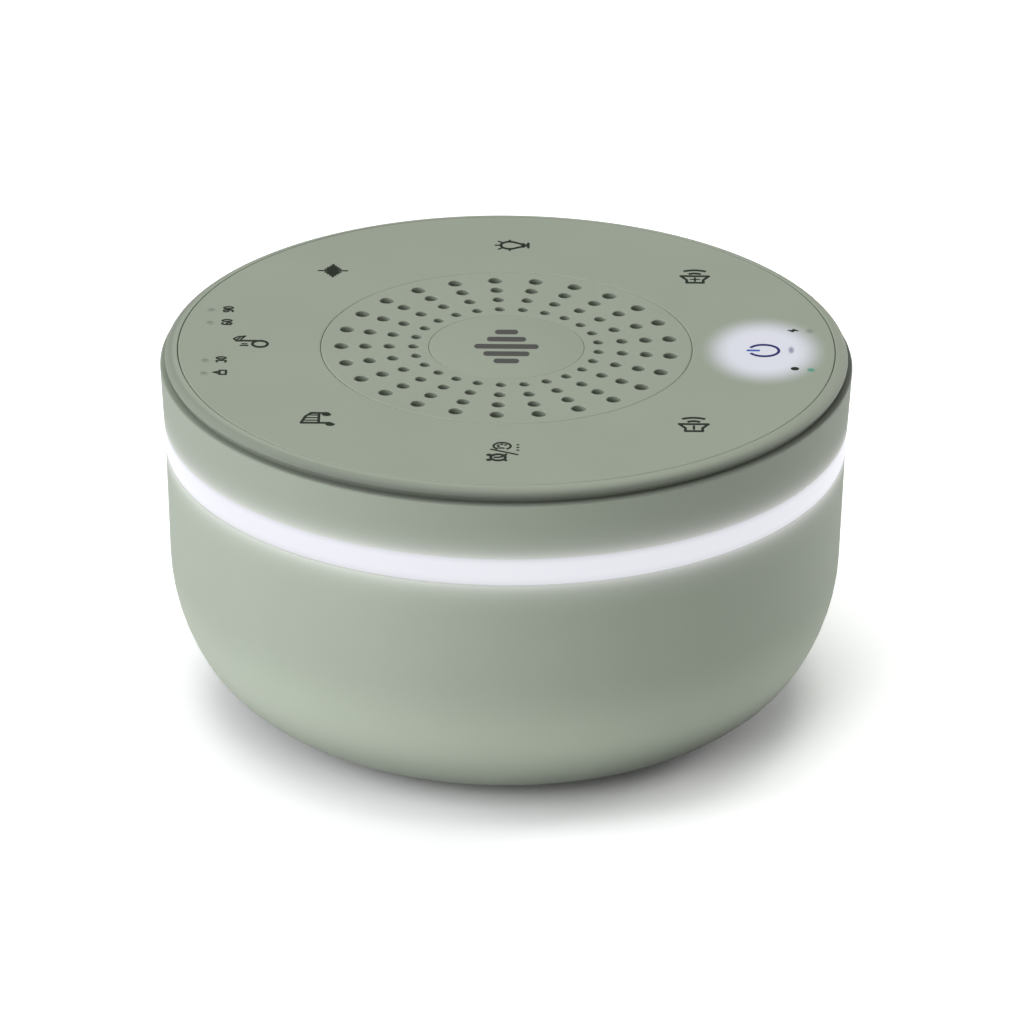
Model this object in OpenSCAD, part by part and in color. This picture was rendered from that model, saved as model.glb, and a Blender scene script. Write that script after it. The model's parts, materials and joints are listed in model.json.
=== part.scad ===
// White noise sound machine: a round table-top speaker with a touch panel on top,
// a light band round its wall, and a rechargeable cell and its boards inside.
// Millimetres, +Z up. The origin is the middle of the ring it stands on.
// +X points to the power key, +Y to the charging socket.

/* [Body] */
// Outside diameter at the top edge of the upper wall, the widest part
body_d = 120.8; // [114.8:0.5:126.8]
// Height of the bowl, from its flat bottom to the shadow line under the light band
bowl_h = 47.7; // [46:0.1:52]
// Visible height of the light band
band_h = 5; // [4:0.1:8]
// Height of the upper wall, from the light band to the lip
upper_h = 10.25; // [9.5:0.05:13]
// Height of the rolled lip
lip_h = 2.6; // [2.3:0.05:3]
// Radius of the roll of the lip
lip_round = 2.8; // [2.5:0.05:3.1]
// Angle above level at which the roll ends, in degrees
lip_turn = 38; // [34:1:44]
// Radius of the lower edge of the lip
lip_edge = 0.35; // [0.2:0.05:0.45]
// Slope of the underside of the lip, in degrees from upright
lip_under = 30; // [20:1:36]
// Thickness of the housing walls
wall = 2.4; // [2:0.1:2.8]
// Slope of the upper wall and the light band, in degrees
upper_draft = 3.3; // [2.6:0.1:4]
// Slope of the straight part of the bowl, in degrees
bowl_draft = 1.9; // [1:0.1:2.6]
// Radius of the upper curve of the bowl
bowl_curve = 34.5; // [30:0.5:37]
// Angle at which the upper curve runs into the base curve
curve_turn = 30; // [24:1:36]
// Radius of the base curve
base_curve = 23.3; // [20:0.1:26]
// Shadow line between the light band and the bowl
seam_gap = 0.2; // [0.1:0.05:0.4]

/* [Top panel] */
// Thickness of the touch panel
panel_t = 2; // [1.6:0.1:2.3]
// Distance from the groove out to the top edge of the upper wall
rim_w = 3.1; // [2.9:0.1:3.4]
// Groove round the touch panel
groove_w = 0.2; // [0.1:0.05:0.4]
// Diameter of the speaker grille
grille_d = 64.8; // [62:0.2:68]
// Thickness of the perforated plate of the grille
grille_t = 1.7; // [1.2:0.1:1.8]
// Thickness of the rim under the grille
rim_t = 1.2; // [0.8:0.1:1.6]
// Width of the rim under the grille, past its plate
rim_flange = 2.8; // [1.5:0.1:3]
// Diameter of the plain disc in the middle of the grille
badge_d = 27; // [22:0.5:29]
// Thickness of that disc
badge_t = 0.8; // [0.5:0.1:1.2]
// Thickness of the acoustic cloth under the grille
cloth_t = 0.3; // [0.2:0.05:0.5]

/* [Speaker holes] */
// Rings of holes
hole_rings = 4; // [2:1:4]
// Holes in each ring
hole_spokes = 25; // [12:1:28]
// Radius of the innermost ring
first_ring_r = 16.2; // [15:0.1:17]
// Distance of the outermost ring in from the edge of the grille
last_ring_in = 3.66; // [3:0.02:4.4]
// Diameter of the holes of the innermost ring
hole_d = 1.9; // [1:0.05:2.4]
// Growth of the hole diameter from ring to ring
hole_growth = 0.23; // [0:0.01:0.3]
// Angle of the first spoke from +X, in degrees
hole_phase = 8.8; // [0:0.1:14.4]

/* [Keys and lights] */
// Number of touch keys round the panel
keys = 8; // [4:1:8]
// Diameter of the copper pad under each key
pad_d = 12; // [8:0.5:13]
// Thickness of the copper pads
pad_t = 0.3; // [0.1:0.05:0.5]
// Thickness of the touch board
touch_board_t = 1.2; // [0.8:0.1:1.6]
// Diameter of the light pipes that show through the panel
pipe_d = 1.3; // [1:0.1:1.8]
// Distance of the timer lights in from the edge of the panel, along X
timer_x = 5; // [4.6:0.1:7]
// Distance of the two inner timer lights from the X axis
timer_y_inner = 8.1; // [6:0.1:10]
// Distance of the two outer timer lights from the X axis
timer_y_outer = 13.6; // [12:0.1:14]
// Distance of the two status lights in from the edge of the panel, along X
status_x = 4.1; // [3.9:0.1:6]
// Distance of the status lights from the X axis
status_y = 8.4; // [6:0.1:10]
// Distance of the remote control eye out from the middle of the power key, along X
eye_x = 4.4; // [3:0.05:4.6]

/* [Lid and deck] */
// Space between the touch panel and the deck
lid_space = 3.4; // [3.2:0.1:4.2]
// Thickness of the deck that carries the speaker
deck_t = 2; // [1.6:0.1:2.6]
// Thickness of the skirt of the top bezel
skirt_t = 1.8; // [1.4:0.1:2.2]
// Number of screws that hold the lid
lid_screws_n = 6; // [4:1:6]
// Distance of the lid screws in from the edge of the panel
lid_screw_in = 4.1; // [3.7:0.1:4.6]
// Radius of the screw bosses of the lid
lid_boss_r = 2.4; // [2:0.1:2.6]
// Height of the tongues of the light band that sit in both housings
tongue_h = 2.1; // [1.4:0.1:2.4]
// Thickness of those tongues
tongue_t = 1.5; // [1:0.1:1.6]

/* [Light ring] */
// Distance from the light band in to the white ring that carries the lamps
light_gap = 3; // [2:0.1:4]
// Thickness of that ring
light_frame_t = 1.8; // [1.2:0.1:2.4]
// Number of lamps
lamps = 24; // [12:1:36]
// Side of a lamp
lamp_w = 2.8; // [2:0.1:3.5]
// Height of a lamp off its strip
lamp_t = 0.8; // [0.5:0.1:1.2]
// Thickness of the flexible lamp strip
strip_t = 0.3; // [0.2:0.05:0.5]

/* [Speaker] */
// Outside diameter of the speaker basket
speaker_d = 67; // [65.5:0.5:68]
// Thickness of the flange of the basket
flange_t = 1.2; // [1:0.1:1.4]
// Width of the flange, from its edge in to the surround
flange_w = 5.4; // [5:0.1:6]
// Depth of the basket, from flange to magnet
basket_h = 12; // [11.5:0.1:12.5]
// Travel of the cone, each way
cone_travel = 1.5; // [0.5:0.1:1.6]
// Outside diameter of the cone
cone_d = 40.6; // [39:0.1:42]
// Radius of the roll of the surround
roll_r = 1.9; // [1.5:0.1:2.1]
// Thickness of the rubber of the surround
surround_t = 0.5; // [0.3:0.05:0.6]
// Outside diameter of the voice coil former
former_d = 19.7; // [19:0.1:20.2]
// Thickness of the former
former_t = 0.25; // [0.15:0.05:0.35]
// Thickness of the winding
winding_t = 0.5; // [0.3:0.05:0.6]
// Air gap on each side of the coil
magnet_gap = 0.5; // [0.35:0.05:0.6]
// Thickness of the top plate
top_plate_t = 2.5; // [2:0.1:3]
// Thickness of the ring magnet
magnet_t = 6; // [5:0.1:6.6]
// Diameter of the ring magnet
magnet_d = 38; // [35:0.5:40]
// Thickness of the back plate
back_plate_t = 2.5; // [2:0.1:3]
// Distance of the speaker screws in from the edge of the flange
speaker_screw_in = 2.2; // [2.1:0.1:2.6]

/* [Speaker chamber] */
// Distance from the edge of the speaker out to the outside of the chamber behind it
chamber_over = 3; // [2.5:0.1:4]
// Depth of the chamber
chamber_depth = 24; // [24:0.1:25]
// Thickness of the walls of the chamber
chamber_wall = 1.8; // [1.4:0.1:2]
// Width of the flange of the chamber
chamber_flange_w = 6; // [5.5:0.1:7]
// Distance of the chamber screws out from the wall of the chamber
chamber_screw_out = 3.1; // [2.8:0.1:3.4]
// Distance of the four pillars in from the rubber ring
pillar_in = 3.5; // [3.2:0.1:4.5]
// Radius of the pillars
pillar_r = 3.2; // [2.6:0.1:3.4]
// Gap between the pillars and the battery tray
pillar_gap = 0.8; // [0.4:0.1:2]

/* [Boards and battery] */
// Distance from the main board out to the wall of the bowl
board_gap = 13.6; // [12.5:0.1:15]
// Thickness of the main board and the charging board
board_t = 1.6; // [1:0.1:1.8]
// Space between the chamber and the main board
board_drop = 4; // [3.6:0.1:5]
// Distance of the main board screws in from the outside of the chamber
board_screw_in = 5.5; // [4.5:0.1:7]
// Diameter of the battery cell
cell_d = 18.4; // [18:0.1:18.6]
// Length of the battery cell
cell_l = 65; // [60:0.5:66]
// Wall of the battery tray
tray_wall = 1.2; // [0.8:0.1:1.4]
// Thickness of the floor of the battery tray
tray_floor = 1.5; // [1:0.1:1.8]

/* [Charging socket] */
// Height of the middle of the socket above the bottom of the bowl
port_h = 31; // [30:0.1:34]
// Width of the metal shell of the socket
port_w = 8.94; // [8.8:0.02:9.2]
// Height of the metal shell
port_t = 3.26; // [3.1:0.02:3.4]
// Length of the metal shell
port_l = 7.3; // [6.8:0.1:8]
// Width of the recess round the socket
recess_w = 12.6; // [11.5:0.1:14]
// Height of the recess
recess_h = 6.6; // [5.5:0.1:7.5]
// Depth of the recess
recess_depth = 1.2; // [1:0.1:1.5]

/* [Base] */
// Height of the rubber ring below the bottom of the bowl
foot_proud = 0.6; // [0.4:0.1:1.5]
// Distance of the rubber ring in from the edge of the base cover
foot_in = 1.9; // [1.5:0.1:3]
// Width of the rubber ring
foot_w = 5; // [4:0.1:5.4]
// Depth of the groove that holds the rubber ring
foot_groove = 0.7; // [0.5:0.1:1]
// Thickness of the base cover
cover_t = 2.2; // [2:0.1:2.8]
// Depth of the base cover in from the bottom of the bowl
cover_recess = 0.3; // [0.1:0.1:0.6]
// Ring of the bowl round the base cover
cover_border = 1.2; // [0.8:0.1:1.6]
// Height of the ledge of the bowl over the base cover
ledge_t = 2; // [1.6:0.1:2.6]
// Width of the ledge, from the edge of the base cover in to its opening
ledge_w = 4.3; // [3.6:0.1:5]

/* [Fits] */
// Clearance between pieces that slide together
fit = 0.1; // [0.05:0.01:0.15]
// Radius of the small screws' threads
screw_r = 1; // [0.8:0.05:1.1]
// Radius of their heads
screw_head_r = 1.7; // [1.6:0.05:1.9]
// Height of their heads
screw_head_h = 1; // [0.7:0.05:1.1]
// Radius of the round wires
wire_r = 0.6; // [0.4:0.05:0.65]

/* [Hidden] */
$fn = 96;

// Colours
sage = [0.58, 0.62, 0.55];
sage_dark = [0.50, 0.54, 0.47];
milky = [0.93, 0.93, 0.97];
white_plastic = [0.92, 0.92, 0.90];
black_plastic = [0.10, 0.10, 0.11];
board_green = [0.07, 0.30, 0.18];
steel = [0.72, 0.73, 0.75];
ferrite = [0.20, 0.20, 0.21];
copper = [0.78, 0.45, 0.25];
paper = [0.16, 0.16, 0.17];
rubber = [0.13, 0.13, 0.13];
amber = [0.75, 0.60, 0.25];

// Heights of the casing, from the table up
body_r = body_d / 2;
z_bowl = foot_proud;
z_seam = z_bowl + bowl_h;
z_band_low = z_seam + seam_gap;
z_band_high = z_band_low + band_h;
z_lip = z_band_high + upper_h;
z_top = z_lip + lip_h;

// Heights under the lid
z_panel = z_top - panel_t;
z_deck_top = z_panel - lid_space;
z_deck = z_deck_top - deck_t;
z_flange = z_deck_top + flange_t;
z_rim = z_panel - rim_t;
z_cloth = z_top - grille_t - cloth_t;

// Heights of the speaker, down from the top of its flange
z_seat = z_flange - surround_t;
z_magnet_top = z_flange - basket_h;
z_magnet = z_magnet_top - top_plate_t;
z_back_plate = z_magnet - magnet_t;
z_speaker_end = z_back_plate - back_plate_t;

// Heights of the chamber and the boards
z_chamber = z_deck - chamber_depth;
z_board_top = z_chamber - board_drop;
z_board = z_board_top - board_t;
z_cover = z_bowl + cover_recess;
z_cover_top = z_cover + cover_t;
z_ledge_top = z_cover_top + ledge_t;
z_cell = z_ledge_top + tray_floor + cell_d / 2 + fit;
z_port = z_bowl + port_h;
z_charge_board = z_port - port_t / 2 - board_t;

// Radii of the casing
function wall_r(z) = body_r - (z_lip - z) * tan(upper_draft);
seam_r = wall_r(z_seam);
bore_r = wall_r(z_band_low) - wall;
tongue_out = bore_r - fit;
tongue_in = tongue_out - tongue_t;
skirt_out = bore_r - fit;
skirt_in = skirt_out - skirt_t;
rim_in_r = body_r - rim_w;
panel_r = rim_in_r - groove_w;
lid_screw_r = panel_r - lid_screw_in;
light_frame_r = tongue_in - light_gap;
grille_r = grille_d / 2;
rim_r = grille_r + rim_flange;
touch_in = max(rim_r, speaker_d / 2) + 0.6;
touch_out = skirt_in - 0.3;
key_circle_r = (touch_in + touch_out) / 2;
last_ring_r = grille_r - last_ring_in;
ring_pitch = (last_ring_r - first_ring_r) / (hole_rings - 1);
rim_in = last_ring_r + (hole_d + (hole_rings - 1) * hole_growth) / 2 + 0.5;

// The bowl: a sloped wall, an upper curve and a base curve, each meeting the next smoothly
curve_drop = bowl_curve * (sin(curve_turn) - sin(bowl_draft)) + base_curve * (1 - sin(curve_turn));
z_curve = z_bowl + curve_drop;
curve_start_r = seam_r - (z_seam - z_curve) * tan(bowl_draft);
upper_centre = [curve_start_r - bowl_curve * cos(bowl_draft), z_curve + bowl_curve * sin(bowl_draft)];
base_centre = upper_centre + (bowl_curve - base_curve) * [cos(curve_turn), -sin(curve_turn)];
base_flat_r = base_centre.x;
cover_r = base_flat_r - cover_border;
foot_r = cover_r - foot_in;
ledge_r = cover_r - ledge_w;
arc_steps = 14;

// Points of an arc from one angle to another
function arc(centre, r, from, to) =
    [for (i = [0:arc_steps]) let (a = from + (to - from) * i / arc_steps)
        centre + r * [cos(a), sin(a)]];

// Outline of the bowl, moved inwards by inset
function bowl_outline(inset) = concat(
    [[seam_r - inset / cos(bowl_draft), z_seam]],
    arc(upper_centre, bowl_curve - inset, -bowl_draft, -curve_turn),
    arc(base_centre, base_curve - inset, -curve_turn, -90),
    [[0, z_bowl + inset], [0, z_seam]]
);

// Speaker radii, from the coil outwards
former_r = former_d / 2;
pole_r = former_r - former_t - magnet_gap;
gap_r = former_r + winding_t + magnet_gap;
cone_r = cone_d / 2;
cone_lip = 1;
roll_centre_r = cone_r + roll_r;
flange_r = speaker_d / 2;
surround_out = flange_r - flange_w;
seat_in = roll_centre_r + roll_r + 0.3;
speaker_screw_r = flange_r - speaker_screw_in;
chamber_r = flange_r + chamber_over;
chamber_flange_r = chamber_r + chamber_flange_w;
chamber_screw_r = chamber_r + chamber_screw_out;
basket_foot_r = gap_r + 6.5;
top_plate_r = gap_r + 5.6;
magnet_r = magnet_d / 2;
neck_z = z_seat - 8.1;
spider_z = z_magnet_top + 2.2;
spider_out = basket_foot_r;
spider_t = 0.3;
z_coil = z_magnet - cone_travel - 0.2;
basket_skin = 1.2;
deck_opening_r = surround_out + 0.4;

// Screw places; the pilot holes are as wide as the threads
lid_screw_turn = 22.5;
pilot_r = screw_r;
quarter = [45:90:315];

// Cell and tray
tray_l = cell_l + 2 * (tray_wall + 1.3);
tray_w = cell_d + 2 * (tray_wall + fit);
tray_screw_y = ledge_r + 3.4;
tray_ear_y = tray_screw_y + 2.6;
tray_ear_w = 8;
contact_t = 0.4;
z_tag = z_cell + cell_d / 2 + 1.3;
tag_x = tray_l / 2 - tray_wall - contact_t - wire_r;
pillar_circle_r = foot_r - foot_w - pillar_in;

// Socket and charging board
port_wall_r = seam_r - (z_seam - z_port) * tan(bowl_draft);
port_y = port_wall_r - recess_depth;
board_r = port_wall_r - wall - board_gap;
board_screw_r = chamber_r - board_screw_in;
charge_w = 16;
charge_back = board_r + 2.4;
charge_front = port_y - wall - 0.4;
charge_screw_x = 6.3;
charge_screw_y = charge_front - 4;
port_skin = 0.3;

// ---------------------------------------------------------------- shared shapes

// A washer, or a disc where r_in is 0
module ring(r_in, r_out, z, h) {
    translate([0, 0, z]) difference() {
        cylinder(h = h, r = r_out);
        if (r_in > 0) translate([0, 0, -1]) cylinder(h = h + 2, r = r_in);
    }
}

// The same children on a circle, first one at angle start
module around(n, r, start = 0) {
    for (i = [0:n - 1]) rotate(start + i * 360 / n) translate([r, 0, 0]) children();
}

// Screw with its head's underside at z = 0, thread upwards
module screw_up(length, thread_r = screw_r, head_r = screw_head_r, head_h = screw_head_h) {
    difference() {
        union() {
            cylinder(h = length, r = thread_r);
            translate([0, 0, -head_h]) cylinder(h = head_h, r = head_r);
        }
        for (a = [0, 90]) rotate(a) translate([0, 0, -head_h])
            cube([head_r * 1.1, head_r * 0.3, head_h], center = true);
    }
}

// The same screw with its head up
module screw_down(length) {
    mirror([0, 0, 1]) screw_up(length);
}

// Slot with round ends, along X, extruded along Y from the origin
module slot_y(w, h, depth) {
    rotate([-90, 0, 0]) linear_extrude(depth) union() {
        square([w - h, h], center = true);
        for (s = [-1, 1]) translate([s * (w - h) / 2, 0]) circle(d = h);
    }
}

// Unit vector
function unit(v) = v / norm(v);

// Points of a smooth curve through the given points
function curve_points(p, steps = 4) = let (last = len(p) - 1) concat(
    [for (i = [0:last - 1]) for (k = [0:steps - 1])
        let (a = p[max(i - 1, 0)], b = p[i], c = p[i + 1], d = p[min(i + 2, last)], t = k / steps)
            0.5 * (2 * b + (c - a) * t + (2 * a - 5 * b + 4 * c - d) * t * t
                + (3 * b - a - 3 * c + d) * t * t * t)],
    [p[last]]
);

// Wire swept along a smooth curve through the points; side is a direction that it never runs along
module wire(points, r, side) {
    sides = 8;
    path = curve_points(points);
    last = len(path) - 1;
    rings = [for (i = [0:last]) let (
        t = unit(path[min(i + 1, last)] - path[max(i - 1, 0)]),
        u = unit(cross(side, t)),
        v = cross(t, u)
    ) for (k = [0:sides - 1]) path[i] + r * (cos(k * 360 / sides) * u + sin(k * 360 / sides) * v)];
    walls = [for (i = [0:last - 1]) for (k = [0:sides - 1]) let (
        a = i * sides + k,
        b = i * sides + (k + 1) % sides
    ) [a, a + sides, b + sides, b]];
    ends = [[for (k = [0:sides - 1]) k], [for (k = [sides - 1:-1:0]) last * sides + k]];
    polyhedron(rings, concat(walls, ends));
}

// Everything inside the bowl's outline, moved inwards by inset
module bowl_body(inset) {
    rotate_extrude() polygon(bowl_outline(inset));
}

// ---------------------------------------------------------------- lid

module top_bezel() {
    boss_depth = lid_space - 0.6;
    // The roll, its lower edge, and the underside that slopes in to the shadow gap
    roll_centre = [rim_in_r, z_top - lip_round];
    edge_centre = roll_centre + (lip_round - lip_edge) * [cos(lip_turn), sin(lip_turn)];
    under = edge_centre + lip_edge * [cos(lip_under), -sin(lip_under)];
    color(sage) difference() {
        union() {
            rotate_extrude() {
                polygon(concat(
                    [[rim_in_r, z_lip]],
                    arc(roll_centre, lip_round, 90, lip_turn),
                    arc(edge_centre, lip_edge, lip_turn, -lip_under),
                    [[under.x - (under.y - z_lip) * tan(lip_under), z_lip]]
                ));
                translate([skirt_in, z_lip]) square([rim_in_r + lip_round / 4 - skirt_in, z_panel - z_lip]);
                translate([skirt_in, z_deck_top]) square([skirt_t, z_panel - z_deck_top]);
            }
            around(lid_screws_n, lid_screw_r, lid_screw_turn) translate([0, 0, z_deck_top])
                cylinder(h = z_panel - z_deck_top, r = lid_boss_r);
        }
        around(lid_screws_n, lid_screw_r, lid_screw_turn) translate([0, 0, z_deck_top - 1])
            cylinder(h = boss_depth + 1, r = pilot_r);
    }
}

// Places of the six lights: four for the timer, two for the status
module at_pipes() {
    for (y = [-timer_y_outer, -timer_y_inner, timer_y_inner, timer_y_outer])
        translate([timer_x - panel_r, y, 0]) children();
    for (y = [-status_y, status_y]) translate([panel_r - status_x, y, 0]) children();
}

module touch_panel() {
    color(sage) difference() {
        ring(grille_r + fit, panel_r, z_panel, panel_t);
        at_pipes() translate([0, 0, z_panel - 1]) cylinder(h = panel_t + 2, d = pipe_d + 2 * fit);
        translate([key_circle_r + eye_x, 0, z_panel - 1]) cylinder(h = panel_t + 2, d = pipe_d + 2 * fit);
    }
}

module speaker_grille() {
    color(sage) difference() {
        union() {
            ring(0, grille_r - fit, z_top - grille_t, grille_t);
            ring(rim_in, grille_r - fit, z_rim, z_top - grille_t - z_rim + 0.01);
            ring(rim_in, rim_r, z_rim, rim_t);
        }
        translate([0, 0, z_top - badge_t]) cylinder(h = badge_t + 1, d = badge_d + 2 * fit);
        for (ring_i = [0:hole_rings - 1])
            around(hole_spokes, first_ring_r + ring_i * ring_pitch, hole_phase)
                translate([0, 0, z_top - grille_t - 1])
                    cylinder(h = grille_t + 2, d = hole_d + ring_i * hole_growth);
    }
}

module centre_disc() {
    color(sage) ring(0, badge_d / 2, z_top - badge_t, badge_t);
}

module grille_cloth() {
    color(black_plastic) ring(0, rim_in - fit, z_cloth, cloth_t);
}

module light_pipes() {
    color(milky) at_pipes() translate([0, 0, z_panel - pad_t - touch_board_t])
        cylinder(h = panel_t + pad_t + touch_board_t, d = pipe_d);
}

module remote_eye() {
    color(sage_dark) translate([key_circle_r + eye_x, 0, z_panel - pad_t - touch_board_t])
        cylinder(h = panel_t + pad_t + touch_board_t, d = pipe_d);
}

module touch_board() {
    z = z_panel - pad_t - touch_board_t;
    color(board_green) difference() {
        ring(touch_in, touch_out, z, touch_board_t);
        around(lid_screws_n, lid_screw_r, lid_screw_turn) translate([0, 0, z - 1])
            cylinder(h = touch_board_t + 2, r = lid_boss_r + 0.4);
        at_pipes() translate([0, 0, z - 1]) cylinder(h = touch_board_t + 2, d = pipe_d + 2 * fit);
        translate([key_circle_r + eye_x, 0, z - 1]) cylinder(h = touch_board_t + 2, d = pipe_d + 2 * fit);
    }
}

module touch_pads() {
    color(copper) difference() {
        around(keys, key_circle_r) translate([0, 0, z_panel - pad_t]) cylinder(h = pad_t, d = pad_d);
        translate([key_circle_r + eye_x, 0, z_panel - 1]) cylinder(h = 2, d = pipe_d + 1);
    }
}

module indicator_lamps() {
    lamp_h = 0.7;
    color(milky) {
        at_pipes() translate([0, 0, z_panel - pad_t - touch_board_t - lamp_h / 2])
            cube([1.6, 2.4, lamp_h], center = true);
        translate([key_circle_r + eye_x, 0, z_panel - pad_t - touch_board_t - lamp_h / 2])
            cube([2, 3, lamp_h], center = true);
    }
}

// ---------------------------------------------------------------- upper housing

module upper_housing() {
    edge = 0.2;
    boss_h = z_panel - pad_t - touch_board_t - z_deck_top - 0.7;
    speaker_boss_h = 4;
    chamber_boss_r = 2;
    z_tongue = z_band_high + tongue_h;
    color(sage) difference() {
        union() {
            rotate_extrude() {
                polygon([
                    [bore_r, z_band_high], [wall_r(z_band_high), z_band_high],
                    [wall_r(z_lip - edge), z_lip - edge], [wall_r(z_lip) - edge, z_lip],
                    [bore_r, z_lip]
                ]);
                translate([deck_opening_r, z_deck]) square([bore_r + 0.5 - deck_opening_r, deck_t]);
                translate([tongue_in, z_tongue])
                    square([bore_r + 0.5 - tongue_in, z_deck - z_tongue + 0.1]);
            }
            for (a = quarter) rotate(a) {
                translate([chamber_screw_r, 0, z_deck]) cylinder(h = deck_t + boss_h, r = chamber_boss_r);
                translate([speaker_screw_r, 0, z_deck - speaker_boss_h])
                    cylinder(h = speaker_boss_h + 0.1, r = 2.1);
            }
        }
        around(lid_screws_n, lid_screw_r, lid_screw_turn) translate([0, 0, z_deck - 1])
            cylinder(h = deck_t + 2, r = screw_r + fit);
        around(lid_screws_n, lid_screw_r, lid_screw_turn) translate([0, 0, z_tongue - 1])
            cylinder(h = z_deck - z_tongue + 1, r = screw_head_r + 0.3);
        for (a = quarter) rotate(a) {
            translate([chamber_screw_r, 0, z_deck - 1]) cylinder(h = deck_t + boss_h + 0.5, r = pilot_r);
            translate([speaker_screw_r, 0, z_deck - speaker_boss_h + 1])
                cylinder(h = speaker_boss_h + deck_t, r = pilot_r);
        }
        translate([-ribbon_w / 2 - 1, ribbon_y - 0.6, z_deck - 1]) cube([ribbon_w + 2, 1.2, deck_t + 2]);
    }
}

module lid_screws() {
    color(steel) around(lid_screws_n, lid_screw_r, lid_screw_turn) translate([0, 0, z_deck])
        screw_up(deck_t + lid_space - 1);
}

// ---------------------------------------------------------------- light band

module light_band() {
    color(milky) rotate_extrude() {
        polygon([
            [tongue_in, z_band_low], [wall_r(z_band_low), z_band_low],
            [wall_r(z_band_high), z_band_high], [tongue_in, z_band_high]
        ]);
        translate([tongue_in, z_band_low - tongue_h]) square([tongue_t, band_h + 2 * tongue_h]);
    }
}

module light_frame() {
    z_low = z_band_low - tongue_h;
    z_high = z_deck - screw_head_h - 0.6;
    color(white_plastic) {
        ring(light_frame_r - light_frame_t, light_frame_r, z_low, z_high - z_low);
        around(lid_screws_n, light_frame_r - light_frame_t / 2, 0) translate([0, 0, z_high - 0.1])
            cylinder(h = z_deck - z_high + 0.1, d = light_frame_t - 0.1);
    }
}

module lamp_strip() {
    color(white_plastic) ring(light_frame_r, light_frame_r + strip_t, z_band_low - 0.2, band_h + 0.4);
}

module ring_lamps() {
    z_mid = (z_band_low + z_band_high) / 2;
    color([1, 1, 0.85]) around(lamps, light_frame_r + strip_t, 360 / lamps / 2)
        translate([0, -lamp_w / 2, z_mid - lamp_w / 2]) cube([lamp_t, lamp_w, lamp_w]);
}

// ---------------------------------------------------------------- speaker

module speaker_gasket() {
    color(rubber) difference() {
        ring(surround_out, flange_r, z_flange, z_rim - z_flange);
        for (a = quarter) rotate(a) translate([speaker_screw_r, 0, z_flange - 1])
            cylinder(h = z_rim - z_flange + 2, r = screw_head_r + 0.1);
    }
}

module speaker_basket() {
    z_foot = z_magnet_top + basket_skin;
    window_h = (z_flange - flange_t - z_foot) * 0.6;
    color(black_plastic) difference() {
        union() {
            rotate_extrude() {
                translate([surround_out, z_flange - flange_t]) square([flange_r - surround_out, flange_t]);
                translate([seat_in, z_flange - flange_t])
                    square([surround_out - seat_in + 0.1, flange_t - surround_t]);
                polygon([
                    [max(seat_in, surround_out - 1.6), z_flange - flange_t + 0.1],
                    [surround_out, z_flange - flange_t + 0.1],
                    [basket_foot_r + basket_skin, z_magnet_top], [basket_foot_r, z_magnet_top]
                ]);
                translate([gap_r + 0.6, z_magnet_top]) square([basket_foot_r - gap_r, basket_skin]);
                translate([spider_out - 0.8, z_magnet_top]) square([1.6, spider_z - z_magnet_top]);
            }
            translate([-ear_w / 2, tag_y - 1.65, z_magnet_top]) cube([ear_w, 7, basket_skin]);
        }
        for (a = quarter) rotate(a) translate([basket_foot_r, -6, z_foot + 1.6])
            cube([flange_r, 12, window_h]);
        for (a = quarter) rotate(a) translate([speaker_screw_r, 0, z_flange - flange_t - 1])
            cylinder(h = flange_t + 2, r = screw_r + fit);
    }
}

module speaker_screws() {
    color(steel) for (a = quarter) rotate(a) translate([speaker_screw_r, 0, z_flange])
        difference() {
            screw_down(flange_t + deck_t + 2);
            translate([0, 0, z_rim - z_flange - 0.05]) cylinder(h = 2, r = screw_head_r + 1);
        }
}

module cone_surround() {
    color(rubber) rotate_extrude() {
        polygon(concat(
            arc([roll_centre_r, z_flange], roll_r, -180, 0),
            arc([roll_centre_r, z_flange], roll_r - surround_t, 0, -180)
        ));
        translate([cone_r - cone_lip, z_seat]) square([cone_lip + surround_t - 0.05, surround_t]);
        translate([roll_centre_r + roll_r - surround_t + 0.05, z_seat])
            square([surround_out - roll_centre_r - roll_r + surround_t - 0.05 - fit, surround_t]);
    }
}

cone_t = 0.5;
neck_r = former_r + 0.8;
cone_top = [cone_r - cone_lip, z_seat];
cone_foot = [neck_r, neck_z];

module speaker_cone() {
    color(paper) rotate_extrude() polygon([
        cone_top, cone_top + [cone_lip, 0], cone_top + [cone_lip, -cone_t], cone_top + [0.4, -cone_t],
        cone_foot + [0.4, -cone_t], [former_r, neck_z - cone_t], [former_r, neck_z], cone_foot
    ]);
}

// Height of the cone's upper face at radius r
function cone_face(r) = neck_z + (r - neck_r) * (z_seat - neck_z) / (cone_r - cone_lip - neck_r);
cap_r = neck_r + 1.2;
cap_rise = 3.2;
cap_t = 0.4;
cap_sphere = (cap_r * cap_r + cap_rise * cap_rise) / (2 * cap_rise);

module dust_cap() {
    centre = [0, cone_face(cap_r) + fit + cap_rise - cap_sphere];
    edge = acos(cap_r / cap_sphere);
    inner_edge = asin(cap_sphere * sin(edge) / (cap_sphere - cap_t));
    color(paper) rotate_extrude() polygon(concat(
        arc(centre, cap_sphere, edge, 90),
        arc(centre, cap_sphere - cap_t, 90, inner_edge)
    ));
}

module coil_former() {
    color(amber) ring(former_r - former_t, former_r, z_coil, neck_z - z_coil);
}

module coil_winding() {
    color(copper) ring(former_r, former_r + winding_t, z_magnet - cone_travel / 2,
        top_plate_t + cone_travel);
}

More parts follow.
